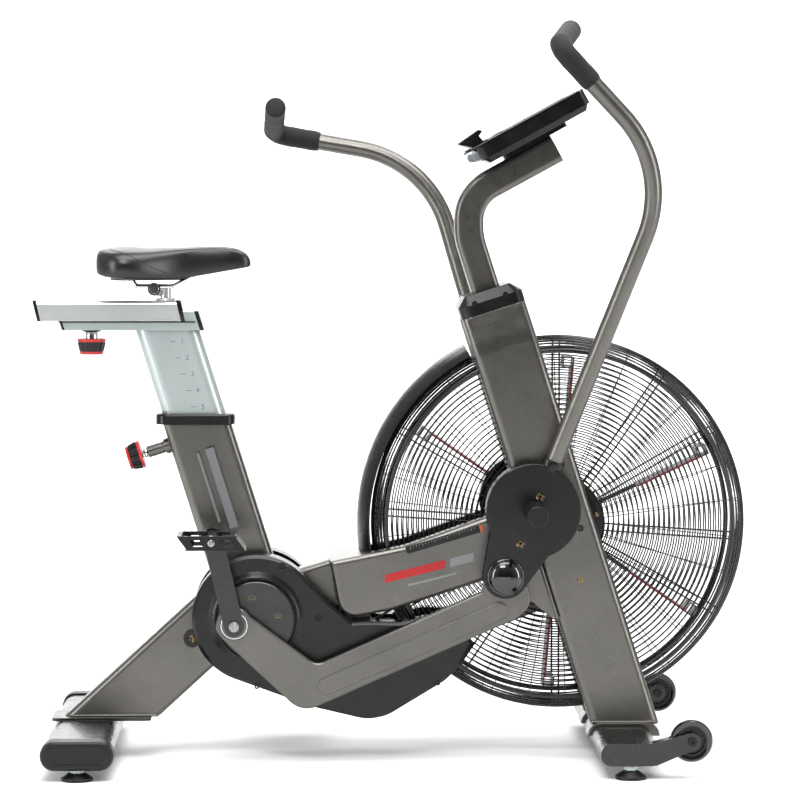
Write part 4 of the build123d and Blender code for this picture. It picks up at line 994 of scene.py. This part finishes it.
def welds():
    """Weld beads at the leg's foot, the side frames' feet and the beam's joint with them."""
    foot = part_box("rear_leg")[0]
    half, z = abs(foot.y), foot.z + 0.0012
    for side, s in SIDES:
        for name, y, start, end, size in (
            ("leg", half + 0.0008, (foot.x + 0.008, z), (foot.x + 0.172, z), 0.0024),
            ("gusset", SIDE_FACE + 0.0002, (0.2675, 0.374), (0.3035, 0.261), 0.0030),
            ("foot", 0.0975, (0.366, 0.069), (0.486, 0.069), 0.0032),
            ("neck", 0.047, (-0.106, 0.338), (-0.0985, 0.292), 0.0022),
        ):
            start, end = ((place[0], s * y, place[1]) for place in (start, end))
            weld(f"{side}_{name}_weld", start, end, size)
    x, y = foot.x + 0.004, half - 0.008
    weld("leg_rear_weld", (x, -y, foot.z + 0.001), (x, y, foot.z + 0.001), 0.0024)


def cap_panel(side, s):
    """Blank framed panel on the end of the rear stabiliser's cap."""
    low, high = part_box("rear_end_caps")
    face = (low if s < 0 else high).y
    centre = Vector(((low.x + high.x) / 2, face - s * 0.0006, (low.z + high.z) / 2))
    length, height = high.x - low.x, high.z - low.z
    profile = [
        (0.0085, -0.001), (0.0088, 0.0007), (0.0100, 0.0011), (0.0124, 0.0011), (0.0134, 0.0004),
        (0.0136, -0.001),
    ]
    rings = []
    for inset, rise in profile:
        corner = height / 2 - inset - 0.0008
        outline = rounded(length - 2 * inset, height - 2 * inset, corner, 8)
        rings.append([centre + X * a + Z * b + Y * s * (rise - 0.0003) for a, b in outline])
    rim = Shape().rows(rings, closed=True)
    rim.done(f"{side}_cap_frame", PLASTIC, "frame", "black_plastic")
    outline = rounded(length - 0.028, height - 0.028, height / 2 - 0.0150, 8)
    panel = Shape().prism(outline, -0.0004, 0.0004, centre)
    panel.done(f"{side}_cap_panel", GLOSS, "frame", "gloss_plastic")


def vent(side, s):
    """Black insert on the beam's upper edge, with plain tick marks and an amber end."""
    start, end = Vector((0.026, 0, 0.3885)), Vector((0.160, 0, 0.4285))
    along = (end - start).normalized()
    up = square_to(along)
    length = (end - start).length
    centre = (start + end) / 2 + Y * s * (SIDE_FACE + 0.0002) - up * 0.003
    insert = Shape().prism(rounded(length, 0.0135, 0.003), -0.0006, 0.0006, centre, along, up)
    insert.bevel(0.0003, 1)
    insert.done(f"{side}_beam_insert", PLASTIC, "frame", "black_plastic")
    ticks = Shape()
    for n in range(22):
        tall = 0.0052 if n % 4 == 0 else 0.003
        place = centre + along * (n - 10.5) * 0.0058 + up * (0.0052 - tall / 2) + Y * s * 0.0008
        ticks.prism(rounded(0.0010, tall, 0.0002, 1), -0.00012, 0.00012, place, along, up)
    ticks.done(f"{side}_beam_ticks", GREY_INK, "frame")
    place = centre + along * (length / 2 + 0.0030)
    amber = Shape().prism(rounded(0.0045, 0.0125, 0.001, 2), -0.0006, 0.0006, place, along, up)
    amber.done(f"{side}_insert_end", AMBER, "frame")


def post_scale():
    """Height marks of the seat post: a tick and a plain figure for each hole."""
    top_x, top_z, step = -0.410, 0.786, 0.030
    ticks, outline = Shape(), rounded(0.010, 0.0011, 0.0003, 1)
    for side, s in SIDES:
        for n in range(10):
            z = 0.765 - step * n
            x = top_x + (top_z - z) * math.tan(POST_LEAN) + 0.004
            spot = Vector((x, s * (POST_HALF + 0.0001), z))
            ticks.prism(outline, -0.00012, 0.00012, spot)
            figure = bpy.data.curves.new(f"figure_{n}", "FONT")
            figure.body, figure.size, figure.extrude = str(n + 1), 0.013, 0.0001
            figure.align_x, figure.align_y = "CENTER", "CENTER"
            piece = new_object(f"{side}_post_figure_{n + 1}", figure)
            piece.location = spot + X * 0.017 * (1 if s < 0 else -1)
            piece.rotation_euler = (math.pi / 2, 0, 0 if s < 0 else math.pi)
            figure.materials.append(MARK_INK)
            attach(piece, "seat_post")
    ticks.done("post_ticks", MARK_INK, "seat_post")


def fasteners():
    """Yellow zinc heads over two of the blackened screws on each side."""
    brass = Shape()
    for _, s in SIDES:
        brass.screw(polar(CRANK, 0.126, 200, s * 0.0385), Y * s, 0.0066, 0.0022)
        brass.screw(Vector((0.345, s * 0.0965, 0.330)), Y * s, 0.0056, 0.0018)
    brass.done("frame_brass_screws", SCREW, "frame", "brass")


def transport_wheel(side, s):
    """Tyre on a spoked plastic core."""
    body = f"{side}_wheel"
    low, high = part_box(f"{side}_transport_wheel")
    centre, radius, half = (low + high) / 2, (high.z - low.z) / 2, (high.y - low.y) / 2

    def turned(shape, shares, steps):
        """Adds a ring whose profile is given in shares of the wheel's radius and half width."""
        profile = [(radius * r, half * y) for r, y in shares]
        return shape.lathe(profile, centre, Y, steps, closed=True)

    tread = [(0.72, -0.80), (0.86, -1), (0.93, -0.98), (0.985, -0.66), (1, -0.25)]
    tread += [(r, -y) for r, y in reversed(tread)]
    tyre = turned(Shape(), tread, 72)
    tyre = tyre.done(f"{side}_wheel_tyre", GLOSS, body, "rubber")
    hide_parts(f"{side}_transport_wheel")
    core = turned(Shape(), [(0.60, -0.7), (0.725, -0.7), (0.725, 0.7), (0.60, 0.7)], 60)
    bore = 0.0052 / radius
    hub = [(bore, -1), (0.27, -1), (0.30, -0.7), (0.30, 0.7), (0.27, 1), (bore, 1)]
    turned(core, hub, 40)
    outline = rounded(radius * 0.40, 0.0052, 0.001, 2)
    for a in turns(6, 0.3):
        out = spoke(a)
        place = centre + out * radius * 0.45
        core.prism(outline, -half * 0.55, half * 0.55, place, out, out.cross(Y))
    turned(core, [(0.25, -0.12), (0.66, -0.12), (0.66, 0.12), (0.25, 0.12)], 48)
    core.done(f"{side}_wheel_core", PLASTIC, body, "black_plastic")


def foot_trim(side, end):
    """Hexagon nut and washer on the levelling foot's stem, and the ribs of its sole."""
    foot = f"{side}_{end}_foot"
    low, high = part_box(f"{side}_{end}_foot")
    centre = Vector(((low.x + high.x) / 2, (low.y + high.y) / 2, 0))
    underside = high.z - 0.020
    washer_low, washer_high = underside - 0.0012, underside - 0.0003
    hexagon = [(0.0125 * math.cos(a), 0.0125 * math.sin(a)) for a in turns(6)]
    nut = Shape().prism(hexagon, underside - 0.0085, washer_low, centre, X, Y).bevel(0.0006)
    profile = [
        (0.0082, washer_low), (0.0150, washer_low), (0.0150, washer_high), (0.0082, washer_high),
    ]
    nut.lathe(profile, centre, Z, 36, closed=True)
    nut.done(f"{foot}_nut", ZINC, foot, "zinc")
    ribs = Shape()
    for z in (0.0018, 0.0036):
        ring = [Vector((math.cos(a), math.sin(a), 0)) * 0.0278 for a in turns(60)]
        ribs.tube([centre + Z * z + out for out in ring], 0.0006, 6, closed=True)
    ribs.done(f"{foot}_ribs", RUBBER, foot, "rubber")


def stripe(name, ink, s, face, start, end, width, skew=0.0):
    """A thin printed bar on a side face, from start to end as (X, Z), with slanted ends."""
    start, end = Vector((start[0], 0, start[1])), Vector((end[0], 0, end[1]))
    along = (end - start).normalized()
    up = square_to(along)
    half, lean, length = width / 2, skew * width / 2, (end - start).length
    outline = [(-lean, -half), (length - lean, -half), (length + lean, half), (lean, half)]
    Shape().rows([
        [start + along * a + up * b + Y * depth for a, b in outline]
        for depth in (face, face + s * 0.00025)
    ]).done(name, ink, "frame")


def stripes():
    """Plain accent bars on the beam and the seat tube."""
    for side, s in SIDES:
        for name, ink, start, end, width in (
            ("red", RED_INK, (-0.012, 0.334), (0.098, 0.361), 0.015),
            ("grey", GREY_INK, (0.107, 0.3632), (0.150, 0.3738), 0.015),
            ("fine", GREY_INK, (0.030, 0.322), (0.118, 0.3436), 0.004),
        ):
            stripe(f"{side}_beam_{name}_bar", ink, s, s * SIDE_FACE, start, end, width, 0.35)
        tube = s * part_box("seat_tube")[1].y
        for name, start, end, width in (
            ("bar", (-0.287, 0.424), (-0.333, 0.570), 0.016),
            ("fine_bar", (-0.314, 0.434), (-0.354, 0.561), 0.005),
        ):
            stripe(f"{side}_tube_{name}", TUBE_INK, s, tube, start, end, width)


# -------- stage, lights and camera


def stage():
    """A wide pale floor that curves up into a backdrop, far enough back to look from behind."""
    half, bend_y, radius, top = 12.0, 9.4, 1.6, 7.0
    profile = [(-half, 0.0), (bend_y, 0.0)]
    for n in range(1, 13):
        a = math.radians(-90 + 90 * n / 12)
        profile.append((bend_y + radius * math.cos(a), radius + radius * math.sin(a)))
    profile.append((bend_y + radius, top))
    floor = bpy.data.meshes.new("floor")
    verts = [(x, y, z) for y, z in profile for x in (-half, half)]
    faces = [(2 * n, 2 * n + 1, 2 * n + 3, 2 * n + 2) for n in range(len(profile) - 1)]
    floor.from_pydata(verts, [], faces)
    floor.shade_smooth()
    paper = Finish("backdrop_paper", (246, 246, 246), 0.9)
    floor.materials.append(paper.layers(tints=[((3, 3), 0.4, 0.7, 0.0, 0.3, (242, 242, 243))]))
    piece = new_object("floor", floor)


def aimed(name, data, place, target):
    """A light or camera at a place that looks at a target."""
    piece = new_object(name, data)
    piece.location = place
    piece.rotation_euler = (Vector(target) - Vector(place)).to_track_quat("-Z", "Y").to_euler()
    return piece


def lights():
    """A grey room with pale walls and roof, soft boxes round the object, and a lit backdrop."""
    world = bpy.data.worlds.new("studio")
    world.use_nodes = True
    room = Nodes(world.node_tree)
    background = room.tree.nodes["Background"].inputs
    background["Strength"].default_value = 1.0
    way = room.node("TexCoord").outputs["Generated"]
    parts = room.node("SeparateXYZ", {"Vector": way}).outputs
    # darkest in front of the object and behind it, palest at its sides and above it
    walls = room.remap(room.maths("ABSOLUTE", parts["X"]), 0.35, 0.95, 0.06, 0.62)
    roof = room.remap(parts["Z"], 0.1, 0.9, 0.0, 0.50)
    room.tree.links.new(room.maths("ADD", walls, roof), background["Color"])
    bpy.context.scene.world = world
    for name, place, target, size, power in (
        ("top_box", (0.2, -0.5, 3.2), (0, 0, 0.6), (3.0, 1.6), 95),
        ("key", (-0.5, -2.3, 2.9), (0.1, 0, 0.9), (1.3, 0.7), 48),
        ("left_strip", (-2.8, -1.6, 1.3), (0, 0, 0.7), (0.6, 2.4), 50),
        ("right_strip", (2.9, -1.5, 1.3), (0.2, 0, 0.7), (0.5, 2.4), 45),
        ("low_strip", (-0.3, -2.6, 0.10), (0, 0, 0.40), (2.6, 0.35), 4),
        ("backdrop_left", (-2.8, 8.2, 3.6), (-0.8, 10.8, 1.2), (2.4, 1.6), 130),
        ("backdrop_right", (2.8, 8.2, 3.6), (0.8, 10.8, 1.2), (2.4, 1.6), 130),
        ("floor_near", (0.0, 3.0, 3.8), (0, 3.6, 0), (3.6, 2.0), 120),
        ("floor_far", (0.0, 6.6, 3.8), (0, 6.8, 0), (4.4, 3.0), 200),
    ):
        data = bpy.data.lights.new(name, "AREA")
        data.shape = "RECTANGLE"
        data.size, data.size_y = size
        data.energy = power
        aimed(name, data, place, target)
    bpy.context.scene.view_settings.view_transform = "Standard"


def camera():
    data = bpy.data.cameras.new("camera")
    data.lens, data.sensor_width = 158.7, 36
    view = aimed("camera", data, (-0.1645, -6.5, 1.0377), (0.0183, 0, 0.6554))
    bpy.context.scene.camera = view


dress_nodes()
for side, s in SIDES:
    for build in (
        fan_cage, grip, lever_trim, crank_trims, shroud_lip, transport_wheel, pin_dome, eye_ring,
        pedal_trim, cap_panel, vent,
    ):
        build(side, s)
    for end in ("front", "rear"):
        foot_trim(side, end)
cage_clips()
saddle_trim(saddle())
seat_trims()
knobs()
console_trims()
welds()
post_scale()
fasteners()
stripes()
stage()
lights()
camera()
